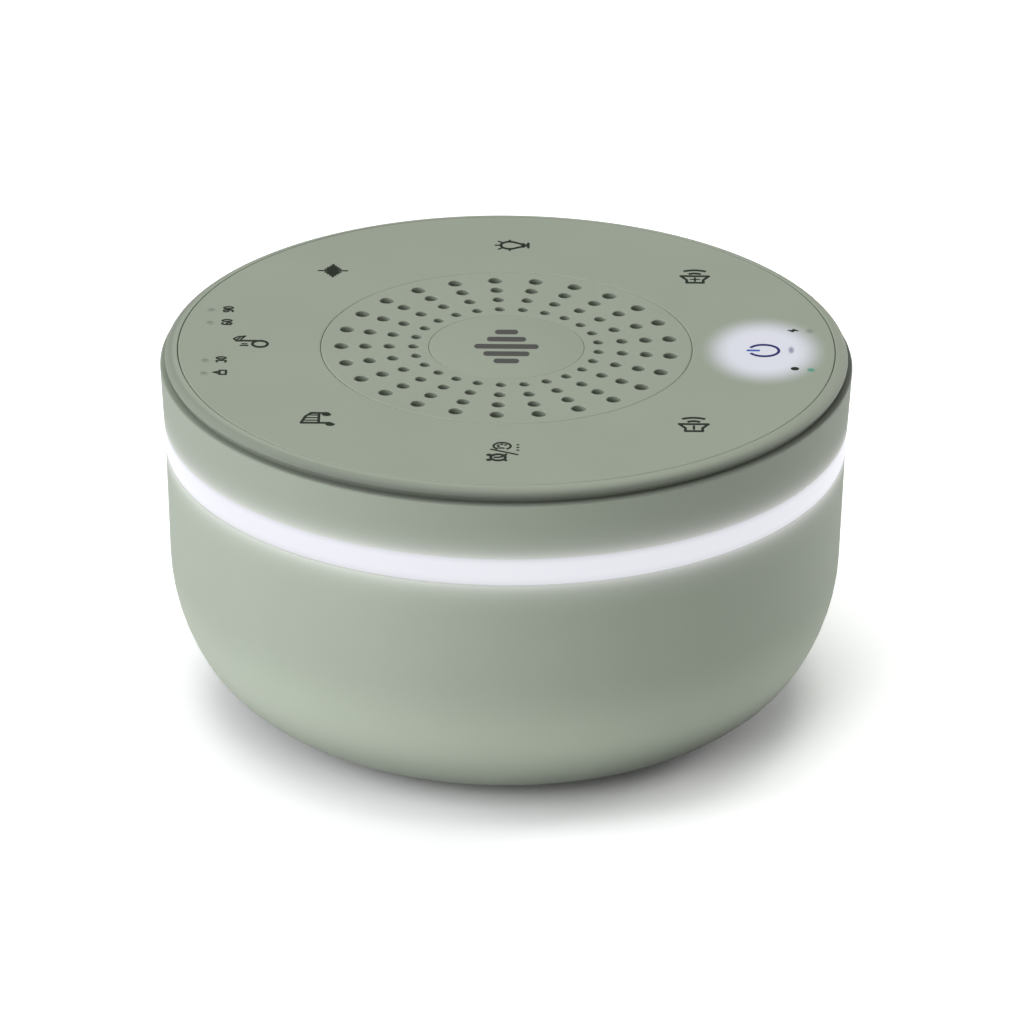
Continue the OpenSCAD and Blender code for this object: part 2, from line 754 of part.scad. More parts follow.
// Corrugated fabric disc that centres the coil
module speaker_spider() {
    waves = 3;
    steps = 36;
    lip = 1;
    r_low = former_r + lip;
    r_high = spider_out - lip;
    wave_z = [for (i = [0:steps]) 0.45 * sin(i * 360 * waves / steps)];
    wave_r = [for (i = [0:steps]) r_low + (r_high - r_low) * i / steps];
    color(amber) rotate_extrude() polygon(concat(
        [[former_r, spider_z]],
        [for (i = [0:steps]) [wave_r[i], spider_z + wave_z[i]]],
        [[spider_out, spider_z], [spider_out, spider_z + spider_t]],
        [for (i = [steps:-1:0]) [wave_r[i], spider_z + wave_z[i] + spider_t]],
        [[former_r, spider_z + spider_t]]
    ));
}

module magnet_top_plate() {
    color(steel) ring(gap_r, top_plate_r, z_magnet, top_plate_t);
}

module ring_magnet() {
    color(ferrite) ring(gap_r + 1.6, magnet_r, z_back_plate, magnet_t);
}

module magnet_yoke() {
    color(steel) difference() {
        union() {
            ring(0, magnet_r - 1, z_speaker_end, back_plate_t);
            translate([0, 0, z_speaker_end]) cylinder(h = z_magnet_top - z_speaker_end, r = pole_r);
        }
        translate([0, 0, z_speaker_end - 1]) cylinder(h = basket_h + magnet_t + 20, r = 2.5);
    }
}

// The two solder tags stand on an ear of the basket
tag_y = -basket_foot_r - 5.4;
tag_h = 2.4;
ear_w = 10;

module speaker_terminals() {
    color(amber) translate([-4.5, tag_y - 1.5, z_magnet_top + basket_skin]) cube([9, 3, 1]);
    color(steel) for (s = [-1, 1]) translate([s * 2.5 - 0.6, tag_y - 0.25, z_magnet_top + basket_skin])
        cube([1.2, 0.5, tag_h]);
}

// ---------------------------------------------------------------- chamber

// Places of the four pillars, on both sides of the battery tray
module at_pillars() {
    y = tray_w / 2 + pillar_gap + pillar_r;
    x = sqrt(pillar_circle_r * pillar_circle_r - y * y);
    for (i = [-1, 1]) for (k = [-1, 1]) translate([i * x, k * y, 0]) children();
}

// Where the speaker's wires pass through the floor of the chamber
wire_gate = [0, tag_y - 2.75];

module speaker_chamber() {
    pin_h = z_chamber - z_cover_top;
    color(black_plastic) difference() {
        union() {
            ring(chamber_r - chamber_wall, chamber_r, z_chamber, chamber_depth);
            ring(0, chamber_r, z_chamber, chamber_wall);
            ring(chamber_r - chamber_wall, chamber_flange_r, z_deck - 2, 2);
            at_pillars() translate([0, 0, z_cover_top])
                cylinder(h = pin_h + 0.5, r = pillar_r);
            for (a = quarter) rotate(a) translate([board_screw_r, 0, z_board_top])
                cylinder(h = board_drop + 0.5, r = 2.5);
        }
        for (a = quarter) rotate(a) translate([chamber_screw_r, 0, z_deck - 3])
            cylinder(h = 4, r = screw_r + fit);
        at_pillars() translate([0, 0, z_cover_top - 1])
            cylinder(h = 12, r = base_thread_r);
        for (a = quarter) rotate(a) translate([board_screw_r, 0, z_board_top - 1])
            cylinder(h = board_drop, r = pilot_r);
        for (s = [-1, 1]) translate([wire_gate.x + s * 1.2, wire_gate.y, z_chamber - 1])
            cylinder(h = chamber_wall + 2, r = wire_r + 0.1);
    }
}

module chamber_screws() {
    color(steel) for (a = quarter) rotate(a) translate([chamber_screw_r, 0, z_deck - 2])
        screw_up(2 + deck_t + 0.6);
}

// ---------------------------------------------------------------- boards

module main_board() {
    color(board_green) difference() {
        ring(0, board_r, z_board, board_t);
        at_pillars() translate([0, 0, z_board - 1])
            cylinder(h = board_t + 2, r = pillar_r + 0.3);
        for (a = quarter) rotate(a) translate([board_screw_r, 0, z_board - 1])
            cylinder(h = board_t + 2, r = screw_r + fit);
    }
}

module board_screws() {
    color(steel) for (a = quarter) rotate(a) translate([board_screw_r, 0, z_board])
        screw_up(board_t + board_drop - 1.4);
}

// Packages on the main board: [x, y, width, depth, height]
chips = [
    [0, 0, 9, 9, 1.2], [-12, 2, 6, 5, 1], [12, -3, 5, 6, 1], [0, 14, 5, 5, 1.1],
    [-24, 7, 4, 6, 1], [24, 7, 6, 6, 2.6], [2.8, -12, 3, 3, 0.9], [-3, -13, 3, 4, 0.9]
];

module board_chips() {
    color(black_plastic) for (c = chips)
        translate([c[0] - c[2] / 2, c[1] - c[3] / 2, z_board_top]) cube([c[2], c[3], c[4]]);
}

// Capacitors under the main board: [distance in from its edge, angle, diameter]
capacitors = [[4.5, 200, 6.3], [4.5, 211.5, 6.3], [5.3, 334, 5], [5.3, 345, 5]];

module board_capacitors() {
    can_h = 5.4;
    color(steel) for (c = capacitors) rotate(c[1]) translate([board_r - c[0], 0, z_board - can_h])
        cylinder(h = can_h, d = c[2]);
}

// Wire plugs on top of the main board: [x, y, turn]
plugs = [[0, board_r - 3, 0], [5 - board_r, 8, 90], [0, wire_gate.y + 2.9, 0]];
plug_size = [7, 3.6, 2.6];

// The flat cable's plug on top of the board, the battery's plug under it
ribbon_w = 8;
ribbon_y = -(chamber_flange_r + light_frame_r - light_frame_t) / 2;
ribbon_plug_y = 1.8 - board_r;
battery_plug_x = tag_x + 1.2;

module board_connectors() {
    color(white_plastic) {
        for (p = plugs) translate([p[0], p[1], z_board_top + plug_size.z / 2]) rotate(p[2])
            cube(plug_size, center = true);
        translate([-ribbon_w / 2 - 2, ribbon_plug_y, z_board_top]) cube([ribbon_w + 4, 4.2, 1.4]);
        translate([battery_plug_x, -2.5, z_board - plug_size.z]) cube([3.6, 7, plug_size.z]);
    }
}

// ---------------------------------------------------------------- battery

module battery_tray() {
    side_h = cell_d * 0.5;
    end_h = cell_d * 0.75;
    color(black_plastic) difference() {
        union() {
            translate([-tray_l / 2, -tray_w / 2, z_ledge_top]) cube([tray_l, tray_w, tray_floor]);
            for (s = [-1, 1]) {
                translate([-tray_l / 2, s * (tray_w - tray_wall) / 2 - tray_wall / 2, z_ledge_top])
                    cube([tray_l, tray_wall, tray_floor + side_h]);
                translate([s * (tray_l - tray_wall) / 2 - tray_wall / 2, -tray_w / 2, z_ledge_top])
                    cube([tray_wall, tray_w, tray_floor + end_h]);
                translate([-tray_ear_w / 2, s > 0 ? 0 : -tray_ear_y, z_ledge_top])
                    cube([tray_ear_w, tray_ear_y, tray_floor]);
            }
        }
        for (s = [-1, 1]) translate([0, s * tray_screw_y, z_ledge_top - 1])
            cylinder(h = tray_floor + 2, r = screw_r + fit);
    }
}

module tray_screws() {
    color(steel) for (s = [-1, 1]) translate([0, s * tray_screw_y, z_ledge_top + tray_floor])
        screw_down(tray_floor + ledge_t - 0.6);
}

module battery_cell() {
    color([0.16, 0.34, 0.55]) translate([-cell_l / 2, 0, z_cell]) rotate([0, 90, 0])
        cylinder(h = cell_l, d = cell_d);
}

module battery_contacts() {
    plate = contact_t;
    gap = tray_l / 2 - tray_wall - cell_l / 2;
    color(steel) for (s = [-1, 1]) {
        translate([s * (tray_l / 2 - tray_wall - plate / 2), 0, z_cell]) cube([plate, 9, 9], center = true);
        translate([s > 0 ? cell_l / 2 : -cell_l / 2 - gap, 0, z_cell]) rotate([0, 90, 0])
            cylinder(h = gap, r = 2.6);
        translate([s * (tray_l / 2 - tray_wall - plate / 2), 0, z_tag - 3])
            cube([plate, 3, 6], center = true);
    }
}

// ---------------------------------------------------------------- lower housing

module lower_housing() {
    z_rib = z_band_low - tongue_h;
    bracket_h = 3;
    color(sage) difference() {
        union() {
            difference() {
                bowl_body(0);
                intersection() {
                    bowl_body(wall);
                    translate([0, 0, z_ledge_top]) cylinder(h = bowl_h, r = body_r);
                }
                ring(0, cover_r + fit, z_bowl - 1, cover_t + cover_recess + 1);
                ring(0, ledge_r, z_bowl, ledge_t + cover_t + cover_recess + 1);
                ring(0, bore_r, z_rib, tongue_h + 1);
            }
            intersection() {
                bowl_body(wall / 2);
                union() {
                    ring(tongue_in, body_r, z_rib - 1.6, 1.6);
                    translate([-charge_w / 2, charge_screw_y - 2, z_charge_board - bracket_h])
                        cube([charge_w, body_r, bracket_h]);
                }
            }
        }
        translate([0, port_y, z_port]) slot_y(recess_w, recess_h, 10);
        translate([0, port_y - 5, z_port]) slot_y(port_w + 2 * fit, port_t + 2 * fit, 10);
        for (s = [-1, 1]) {
            translate([s * charge_screw_x, charge_screw_y, z_charge_board - bracket_h - 1])
                cylinder(h = bracket_h + 2, r = pilot_r);
            translate([0, s * tray_screw_y, z_ledge_top - ledge_t + 0.4])
                cylinder(h = ledge_t + 1, r = pilot_r);
        }
    }
}

module charge_board() {
    color(board_green) difference() {
        translate([-charge_w / 2, charge_back, z_charge_board])
            cube([charge_w, charge_front - charge_back, board_t]);
        for (s = [-1, 1]) translate([s * charge_screw_x, charge_screw_y, z_charge_board - 1])
            cylinder(h = board_t + 2, r = screw_r + fit);
    }
}

module charge_screws() {
    color(steel) for (s = [-1, 1]) translate([s * charge_screw_x, charge_screw_y, z_charge_board + board_t])
        screw_down(board_t + 2.4);
}

// Reversible charging socket: an oval steel shell with a tongue in the middle
module charge_socket() {
    back = 0.7;
    tongue = [port_w - 2.2, port_l - 2.2, 0.7];
    color(steel) translate([0, port_y - port_l, z_port]) difference() {
        slot_y(port_w, port_t, port_l);
        translate([0, back, 0]) slot_y(port_w - 2 * port_skin, port_t - 2 * port_skin, port_l);
    }
    color(black_plastic) translate([-tongue.x / 2, port_y - port_l + back - 0.05, z_port - tongue.z / 2])
        cube(tongue);
}

// ---------------------------------------------------------------- base

base_thread_r = 1.4;
base_head_r = 2.4;
base_head_h = 1.1;

module base_cover() {
    color(sage_dark) difference() {
        ring(0, cover_r, z_cover, cover_t);
        ring(foot_r - foot_w - fit, foot_r + fit, z_cover - 1, foot_groove + 1);
        at_pillars() translate([0, 0, z_cover - 1]) {
            cylinder(h = base_head_h + 1, r = base_head_r + 0.2);
            cylinder(h = cover_t + 2, r = base_thread_r + fit);
        }
    }
}

module base_screws() {
    color(steel) at_pillars() translate([0, 0, z_cover + base_head_h])
        screw_up(cover_t + 7, base_thread_r, base_head_r, base_head_h);
}

module foot_ring() {
    color(rubber) ring(foot_r - foot_w, foot_r, 0, z_cover + foot_groove);
}

// ---------------------------------------------------------------- wires

module speaker_wires() {
    plug_top = z_board_top + plug_size.z;
    tag_z = z_magnet_top + basket_skin + tag_h - 0.6;
    color([0.75, 0.1, 0.1]) for (s = [-1, 1]) wire([
        [s * 2.5, tag_y - 0.85, tag_z],
        [s * 2.3, tag_y - 2.6, tag_z + 0.3],
        [s * 1.7, wire_gate.y - 0.4, tag_z - 3],
        [s * 1.2, wire_gate.y, z_magnet - 4],
        [s * 1.2, wire_gate.y, z_chamber + 3],
        [s * 1.2, wire_gate.y, z_chamber],
        [s * 1.2, wire_gate.y + 0.1, plug_top + 0.7],
        [s * 1.2, wire_gate.y + 1.5, plug_top - 0.8]
    ], wire_r, [1, 0, 0]);
}

module battery_wires() {
    color([0.75, 0.1, 0.1]) {
        wire([
            [tag_x, 0, z_tag - 0.6], [tag_x - 0.2, 0, z_tag + 0.7], [battery_plug_x, 0, z_board - 1.3]
        ], wire_r, [0, 1, 0]);
        wire([
            [-tag_x, 0, z_tag - 0.6], [1.2 - tag_x, 1.6, z_tag + 0.8], [9 - tag_x, 6, z_board - 2],
            [tag_x - 13, 6, z_board - 2], [tag_x - 2, 3.5, z_board - 1.9],
            [battery_plug_x + 0.3, 2.2, z_board - 1.3]
        ], wire_r, [0.2, 1, -1]);
    }
}

module lamp_wires() {
    plug_x = plugs[1][0];
    strip_x = -light_frame_r - strip_t - wire_r;
    color([0.85, 0.85, 0.8]) for (s = [-1, 1]) wire([
        [strip_x, 8 + s * 1.2, z_band_low + 0.5],
        [strip_x, 8 + s * 1.2, z_band_low - tongue_h + 0.4],
        [strip_x + 1.6, 8 + s * 1.2, z_band_low - tongue_h - 1.6],
        [plug_x - 7, 8 + s * 1.2, z_board_top + 7],
        [plug_x - 3.8, 8 + s * 1.2, z_board_top + 2],
        [plug_x - 1.8, 8 + s * 1.2, z_board_top + 1.3]
    ], wire_r, [0, 1, 0]);
}

module charge_wires() {
    board_top = z_charge_board + board_t;
    color([0.75, 0.1, 0.1]) for (s = [-1, 1]) wire([
        [s * 1.5, charge_back + 1.6, board_top],
        [s * 1.5, charge_back + 1.2, board_top + 1.6],
        [s * 1.5, charge_back - 0.8, max(board_top + 2, z_board_top + 1.3)],
        [s * 1.5, plugs[0][1] + 1.8, z_board_top + 1.3]
    ], wire_r, [1, 0, 0]);
}

// Flat cable from the touch board down through the deck to the main board
module touch_ribbon() {
    ribbon_t = 0.3;
    bend = 2;
    z_high = z_panel - pad_t - touch_board_t;
    z_low = z_board_top + 0.7;
    color(amber) translate([-ribbon_w / 2, ribbon_y, 0]) rotate([90, 0, 90]) linear_extrude(ribbon_w) {
        translate([-ribbon_t / 2, z_low + bend]) square([ribbon_t, z_high - z_low - bend]);
        intersection() {
            translate([bend, z_low + bend]) difference() {
                circle(r = bend + ribbon_t / 2);
                circle(r = bend - ribbon_t / 2);
            }
            translate([-bend, z_low - bend]) square(2 * bend);
        }
        translate([bend, z_low - ribbon_t / 2]) square([ribbon_plug_y - ribbon_y - bend + 0.2, ribbon_t]);
    }
}

top_bezel();
touch_panel();
speaker_grille();
centre_disc();
grille_cloth();
light_pipes();
remote_eye();
touch_board();
touch_pads();
indicator_lamps();
upper_housing();
lid_screws();
light_band();
light_frame();
lamp_strip();
ring_lamps();
speaker_gasket();
speaker_basket();
speaker_screws();
cone_surround();
speaker_cone();
dust_cap();
coil_former();
coil_winding();
speaker_spider();
magnet_top_plate();
ring_magnet();
magnet_yoke();
speaker_terminals();
speaker_chamber();
chamber_screws();
main_board();
board_screws();
board_chips();
board_capacitors();
board_connectors();
battery_tray();
battery_cell();
battery_contacts();
tray_screws();
lower_housing();
charge_board();
charge_socket();
charge_screws();
base_cover();
base_screws();
foot_ring();
speaker_wires();
battery_wires();
lamp_wires();
charge_wires();
touch_ribbon();
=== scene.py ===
# %% [markdown]
# # Dressing a white noise sound machine
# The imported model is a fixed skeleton: every solid has its name, its place and the body it moves with. In
# this lesson we give it its skin. Each step says what the piece is on the real machine, how it could be made,
# and why we chose our way. All lengths are typed in millimetres and turned into metres by MM.

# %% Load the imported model
import json
import math
import bpy
import bmesh
from mathutils import Matrix, Vector


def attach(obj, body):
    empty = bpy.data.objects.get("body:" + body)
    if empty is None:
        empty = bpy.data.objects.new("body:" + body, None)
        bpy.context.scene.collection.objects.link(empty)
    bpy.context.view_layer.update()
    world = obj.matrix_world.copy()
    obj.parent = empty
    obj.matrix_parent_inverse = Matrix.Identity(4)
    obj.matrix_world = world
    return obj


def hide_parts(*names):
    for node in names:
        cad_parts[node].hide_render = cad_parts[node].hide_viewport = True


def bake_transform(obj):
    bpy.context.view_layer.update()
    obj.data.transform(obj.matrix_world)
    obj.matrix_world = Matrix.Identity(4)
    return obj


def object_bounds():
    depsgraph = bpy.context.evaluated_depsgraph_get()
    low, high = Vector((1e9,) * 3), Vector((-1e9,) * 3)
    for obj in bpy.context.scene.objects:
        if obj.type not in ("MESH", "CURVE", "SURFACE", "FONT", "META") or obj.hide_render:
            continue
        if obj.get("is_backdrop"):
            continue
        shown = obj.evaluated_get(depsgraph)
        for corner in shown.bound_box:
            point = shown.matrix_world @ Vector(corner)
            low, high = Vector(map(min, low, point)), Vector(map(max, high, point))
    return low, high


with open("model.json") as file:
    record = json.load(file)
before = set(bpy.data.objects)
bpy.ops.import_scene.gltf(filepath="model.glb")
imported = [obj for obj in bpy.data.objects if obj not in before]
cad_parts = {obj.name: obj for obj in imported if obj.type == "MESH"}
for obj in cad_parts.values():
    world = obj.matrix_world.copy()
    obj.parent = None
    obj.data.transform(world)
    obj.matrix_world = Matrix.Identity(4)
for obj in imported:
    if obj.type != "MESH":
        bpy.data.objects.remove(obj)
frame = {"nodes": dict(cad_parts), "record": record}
cad_low, cad_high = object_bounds()
MM = 0.001
print("the model is", [round((b - a) / MM, 2) for a, b in zip(cad_low, cad_high)], "mm")

# %% [markdown]
# ## The camera
# The machine is seen from 25 degrees above the table through a very long lens, which keeps the round lid a
# clean ellipse. A camera can be aimed by a constraint, but three plain directions (forward, up, right) say
# exactly where it looks, and a small roll and turn are then easy to add.

# %% Camera
ELEVATION, ROLL, TURN, DISTANCE = math.radians(25.06), 0.0084, math.radians(1.0), 1.6
SHIFT_RIGHT, SHIFT_DOWN = 1.21, 28.89
forward = Vector((0, math.cos(ELEVATION), -math.sin(ELEVATION)))
upward = Vector((0, math.sin(ELEVATION), math.cos(ELEVATION)))
sideways = Vector((1, 0, 0))
place = sideways * SHIFT_RIGHT * MM - upward * SHIFT_DOWN * MM - forward * DISTANCE
across = sideways * math.cos(ROLL) + upward * math.sin(ROLL)
upright = upward * math.cos(ROLL) - sideways * math.sin(ROLL)
axes = Matrix((across, upright, -forward)).transposed().to_4x4()
lens = bpy.data.cameras.new("camera")
lens.lens, lens.sensor_width, lens.clip_start, lens.clip_end = 322.54, 36, 0.1, 20
camera = bpy.data.objects.new("camera", lens)
bpy.context.scene.collection.objects.link(camera)
camera.matrix_world = (Matrix.Translation((0, 0, cad_high.z)) @ Matrix.Rotation(TURN, 4, "Z")
                       @ Matrix.Translation(place) @ axes)
bpy.context.scene.camera = camera
print("camera at", [round(c, 3) for c in camera.matrix_world.translation])

# %% [markdown]
# ## The room
# A white sweep and big soft lamps: two softboxes on the left, one overhead, and one behind on the right that
# draws a thin rim. The sweep could be a bent backdrop. A flat white floor does the same, if the camera sees
# it a little overexposed: then it is pure white far off and still takes the soft shadow under the bowl, which
# a painted shadow deepens.

# %% Floor, sky and lamps
scene = bpy.context.scene
scene.view_settings.view_transform = "Standard"
floor_mesh = bpy.data.meshes.new("floor")
floor_build = bmesh.new()
bmesh.ops.create_grid(floor_build, x_segments=1, y_segments=1, size=3)
floor_build.to_mesh(floor_mesh)
floor_build.free()
floor = bpy.data.objects.new("floor", floor_mesh)
scene.collection.objects.link(floor)
floor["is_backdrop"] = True

world = bpy.data.worlds.new("white_room")
scene.world = world
world.use_nodes = True
sky = world.node_tree
sky.nodes.clear()
lit, seen = sky.nodes.new("ShaderNodeBackground"), sky.nodes.new("ShaderNodeBackground")
lit.inputs["Strength"].default_value = 0.12
seen.inputs["Color"].default_value = lit.inputs["Color"].default_value = (1, 1, 1, 1)
ray, pick = sky.nodes.new("ShaderNodeLightPath"), sky.nodes.new("ShaderNodeMixShader")
sky.links.new(ray.outputs["Is Camera Ray"], pick.inputs["Fac"])
sky.links.new(lit.outputs[0], pick.inputs[1])
sky.links.new(seen.outputs[0], pick.inputs[2])
sky.links.new(pick.outputs[0], sky.nodes.new("ShaderNodeOutputWorld").inputs["Surface"])


def softbox(name, spot, size, watts, tone=(1, 1, 1), aim=(0, 0, 0.03)):
    """A square area lamp at a spot, turned to face the machine."""
    data = bpy.data.lights.new(name, "AREA")
    data.size, data.energy, data.color = size, watts, tone
    lamp = bpy.data.objects.new(name, data)
    scene.collection.objects.link(lamp)
    lamp.location = spot
    lamp.rotation_euler = (Vector(aim) - Vector(spot)).to_track_quat("-Z", "Y").to_euler()


softbox("key_left", (-1.3, -0.25, 0.55), 0.9, 11.0, tone=(0.97, 0.97, 1.05))
softbox("front_left", (-0.8, -1.2, 0.6), 0.8, 10.0)
softbox("overhead", (0, 0.1, 1.5), 1.2, 11.4)
softbox("rim_right", (1.2, 0.75, 0.35), 0.6, 9.6)

# %% [markdown]
# ## Shared effects
# Several finishes need the same small things: the fine grain of a spark-eroded mould, a mask that fades with
# height or from one side to the other, the painted glow beside the lit band, and a soft round patch. The
# masks also place painted shade and light. Each is a node group with named sockets, built once. A group only
# puts out numbers; the shader itself stays in each material.

# %% Node group helpers
def new_group(name, inputs, outputs):
    """An empty shader group with float inputs {name: value} and float outputs."""
    group = bpy.data.node_groups.new(name, "ShaderNodeTree")
    for socket, value in inputs.items():
        made = group.interface.new_socket(socket, in_out="INPUT", socket_type="NodeSocketFloat")
        made.default_value = value
    for socket in outputs:
        group.interface.new_socket(socket, in_out="OUTPUT", socket_type="NodeSocketFloat")
    return group, group.nodes.new("NodeGroupInput"), group.nodes.new("NodeGroupOutput")


def math_node(tree, operation, a, b=None, c=None, clamp=False):
    """A Math node whose inputs are numbers or sockets; returns its output."""
    node = tree.nodes.new("ShaderNodeMath")
    node.operation, node.use_clamp = operation, clamp
    for socket, value in zip(node.inputs, (a, b, c)):
        if isinstance(value, bpy.types.NodeSocket):
            tree.links.new(value, socket)
        elif value is not None:
            socket.default_value = value
    return node.outputs[0]


def object_axes(tree):
    """The three Object coordinates in millimetres."""
    place, split = tree.nodes.new("ShaderNodeTexCoord"), tree.nodes.new("ShaderNodeSeparateXYZ")
    tree.links.new(place.outputs["Object"], split.inputs[0])
    return [math_node(tree, "MULTIPLY", split.outputs[i], 1000) for i in range(3)]


def noise(tree, per_mm, detail=2, roughness=0.5):
    """Noise on Object coordinates, with the given number of lumps per millimetre."""
    place, node = tree.nodes.new("ShaderNodeTexCoord"), tree.nodes.new("ShaderNodeTexNoise")
    tree.links.new(place.outputs["Object"], node.inputs["Vector"])
    if isinstance(per_mm, bpy.types.NodeSocket):
        tree.links.new(math_node(tree, "MULTIPLY", per_mm, 1000), node.inputs["Scale"])
    else:
        node.inputs["Scale"].default_value = per_mm * 1000
    node.inputs["Detail"].default_value, node.inputs["Roughness"].default_value = detail, roughness
    return node.outputs["Fac"]


# %% Mould grain: fine relief, clouds of shade, and a slightly rubbed gloss
grain, g_in, g_out = new_group("mould_grain", {"Per mm": 6, "Cloud per mm": 0.05}, ["Height", "Shade", "Rub"])
spark = noise(grain, g_in.outputs["Per mm"], 3, 0.6)
cloud = noise(grain, g_in.outputs["Cloud per mm"], 2)
mottle = math_node(grain, "ADD", cloud, math_node(grain, "MULTIPLY", spark, 0.5))
grain.links.new(spark, g_out.inputs["Height"])
grain.links.new(math_node(grain, "MULTIPLY_ADD", mottle, 0.06, 0.955), g_out.inputs["Shade"])
grain.links.new(math_node(grain, "MULTIPLY_ADD", cloud, 0.12, -0.06), g_out.inputs["Rub"])
print("group:", grain.name)


# %% Height fade and side fade
def fade_group(name, inputs, length_of):
    """Mask that goes smoothly from 0 at From to 1 at To, along the length in mm that length_of gives."""
    group, into, out = new_group(name, inputs, ["Mask"])
    ramp = group.nodes.new("ShaderNodeMapRange")
    ramp.interpolation_type = "SMOOTHSTEP"
    group.links.new(length_of(group, into), ramp.inputs["Value"])
    group.links.new(into.outputs["From"], ramp.inputs["From Min"])
    group.links.new(into.outputs["To"], ramp.inputs["From Max"])
    group.links.new(ramp.outputs["Result"], out.inputs["Mask"])
    return group


def across_length(tree, into):
    """How far a point lies along the level direction (Along X, Along Y)."""
    x, y, _ = object_axes(tree)
    return math_node(tree, "ADD", math_node(tree, "MULTIPLY", x, into.outputs["Along X"]),
                     math_node(tree, "MULTIPLY", y, into.outputs["Along Y"]))


side_inputs = {"Along X": 0.4, "Along Y": -0.92, "From": -36, "To": 51}
height_fade = fade_group("height_fade", {"From": 0, "To": 1}, lambda tree, into: object_axes(tree)[2])
side_fade = fade_group("side_fade", side_inputs, across_length)
print("groups:", height_fade.name, side_fade.name)

# %% Band spill: 1 at the band, dying away above and below it; it places a painted glow on the shell
spill, s_in, s_out = new_group("band_spill", {"Low": 48.5, "High": 53.5, "Fall": 1.6}, ["Mask"])
height = object_axes(spill)[2]
away = math_node(spill, "MAXIMUM", math_node(spill, "SUBTRACT", height, s_in.outputs["High"]),
                 math_node(spill, "SUBTRACT", s_in.outputs["Low"], height))
away = math_node(spill, "DIVIDE", math_node(spill, "MAXIMUM", away, 0), s_in.outputs["Fall"])
spill.links.new(math_node(spill, "EXPONENT", math_node(spill, "MULTIPLY", away, -1)), s_out.inputs["Mask"])
print("group:", spill.name)

# %% Round patch: 1 inside its core, 0 past its rim
patch_inputs = {"X": 0, "Y": 0, "Half X": 1, "Half Y": 1, "Core": 0.5}
patch, p_in, p_out = new_group("round_patch", patch_inputs, ["Mask"])
px, py, _ = object_axes(patch)
ex = math_node(patch, "DIVIDE", math_node(patch, "SUBTRACT", px, p_in.outputs["X"]), p_in.outputs["Half X"])
ey = math_node(patch, "DIVIDE", math_node(patch, "SUBTRACT", py, p_in.outputs["Y"]), p_in.outputs["Half Y"])
reach = math_node(patch, "SQRT", math_node(patch, "ADD", math_node(patch, "MULTIPLY", ex, ex),
                                           math_node(patch, "MULTIPLY", ey, ey)))
fall = patch.nodes.new("ShaderNodeMapRange")
fall.interpolation_type = "SMOOTHSTEP"
patch.links.new(reach, fall.inputs["Value"])
patch.links.new(p_in.outputs["Core"], fall.inputs["From Max"])
fall.inputs["From Min"].default_value = 1
patch.links.new(fall.outputs["Result"], p_out.inputs["Mask"])
print("group:", patch.name)

# %% Finish helpers
finishes = {}


def use(tree, group, **values):
    """A group node in a material; names with spaces are written with an underscore."""
    node = tree.nodes.new("ShaderNodeGroup")
    node.node_tree = group
    for name, value in values.items():
        node.inputs[name.replace("_", " ")].default_value = value
    return node


def mix(tree, factor, a, b):
    """Mixes two colours, each a tuple or a socket."""
    node = tree.nodes.new("ShaderNodeMix")
    node.data_type = "RGBA"
    for socket, value in zip((node.inputs[0], node.inputs[6], node.inputs[7]), (factor, a, b)):
        if isinstance(value, bpy.types.NodeSocket):
            tree.links.new(value, socket)
        else:
            socket.default_value = value if isinstance(value, float) else (*value[:3], 1)
    return node.outputs[2]


def tint(tree, colour, factor):
    """A colour, a tuple or a socket, times a number socket."""
    node = tree.nodes.new("ShaderNodeVectorMath")
    node.operation = "SCALE"
    if isinstance(colour, bpy.types.NodeSocket):
        tree.links.new(colour, node.inputs[0])
    else:
        node.inputs[0].default_value = colour[:3]
    tree.links.new(factor, node.inputs["Scale"])
    return node.outputs[0]


def shade_factor(tree, mask, gain):
    """A factor for a colour: 1 where the mask is 0, and 1 plus the gain where it is 1."""
    return math_node(tree, "MULTIPLY_ADD", mask, gain, 1.0)


def finish(slot, colour, roughness, bump=0.02, per_mm=6.0, cloud=0.05, metal=0.0, coat=0.0, sheen=0.0):
    """A material with grain in its colour, roughness and bump. Returns its tree, shader and colour."""
    material = bpy.data.materials.new(slot)
    material.use_nodes = True
    tree = material.node_tree
    shader = tree.nodes["Principled BSDF"]
    shader.inputs["Metallic"].default_value = metal
    shader.inputs["Coat Weight"].default_value = coat
    shader.inputs["Sheen Weight"].default_value = sheen
    skin = use(tree, grain, Per_mm=per_mm, Cloud_per_mm=cloud)
    shade = tint(tree, colour, skin.outputs["Shade"])
    tree.links.new(shade, shader.inputs["Base Color"])
    rubbed = math_node(tree, "ADD", skin.outputs["Rub"], roughness, clamp=True)
    tree.links.new(rubbed, shader.inputs["Roughness"])
    relief = tree.nodes.new("ShaderNodeBump")
    relief.inputs["Distance"].default_value = bump * MM
    relief.inputs["Strength"].default_value = 1
    tree.links.new(skin.outputs["Height"], relief.inputs["Height"])
    tree.links.new(relief.outputs[0], shader.inputs["Normal"])
    finishes[slot] = material
    print("finish:", slot)
    return tree, shader, shade
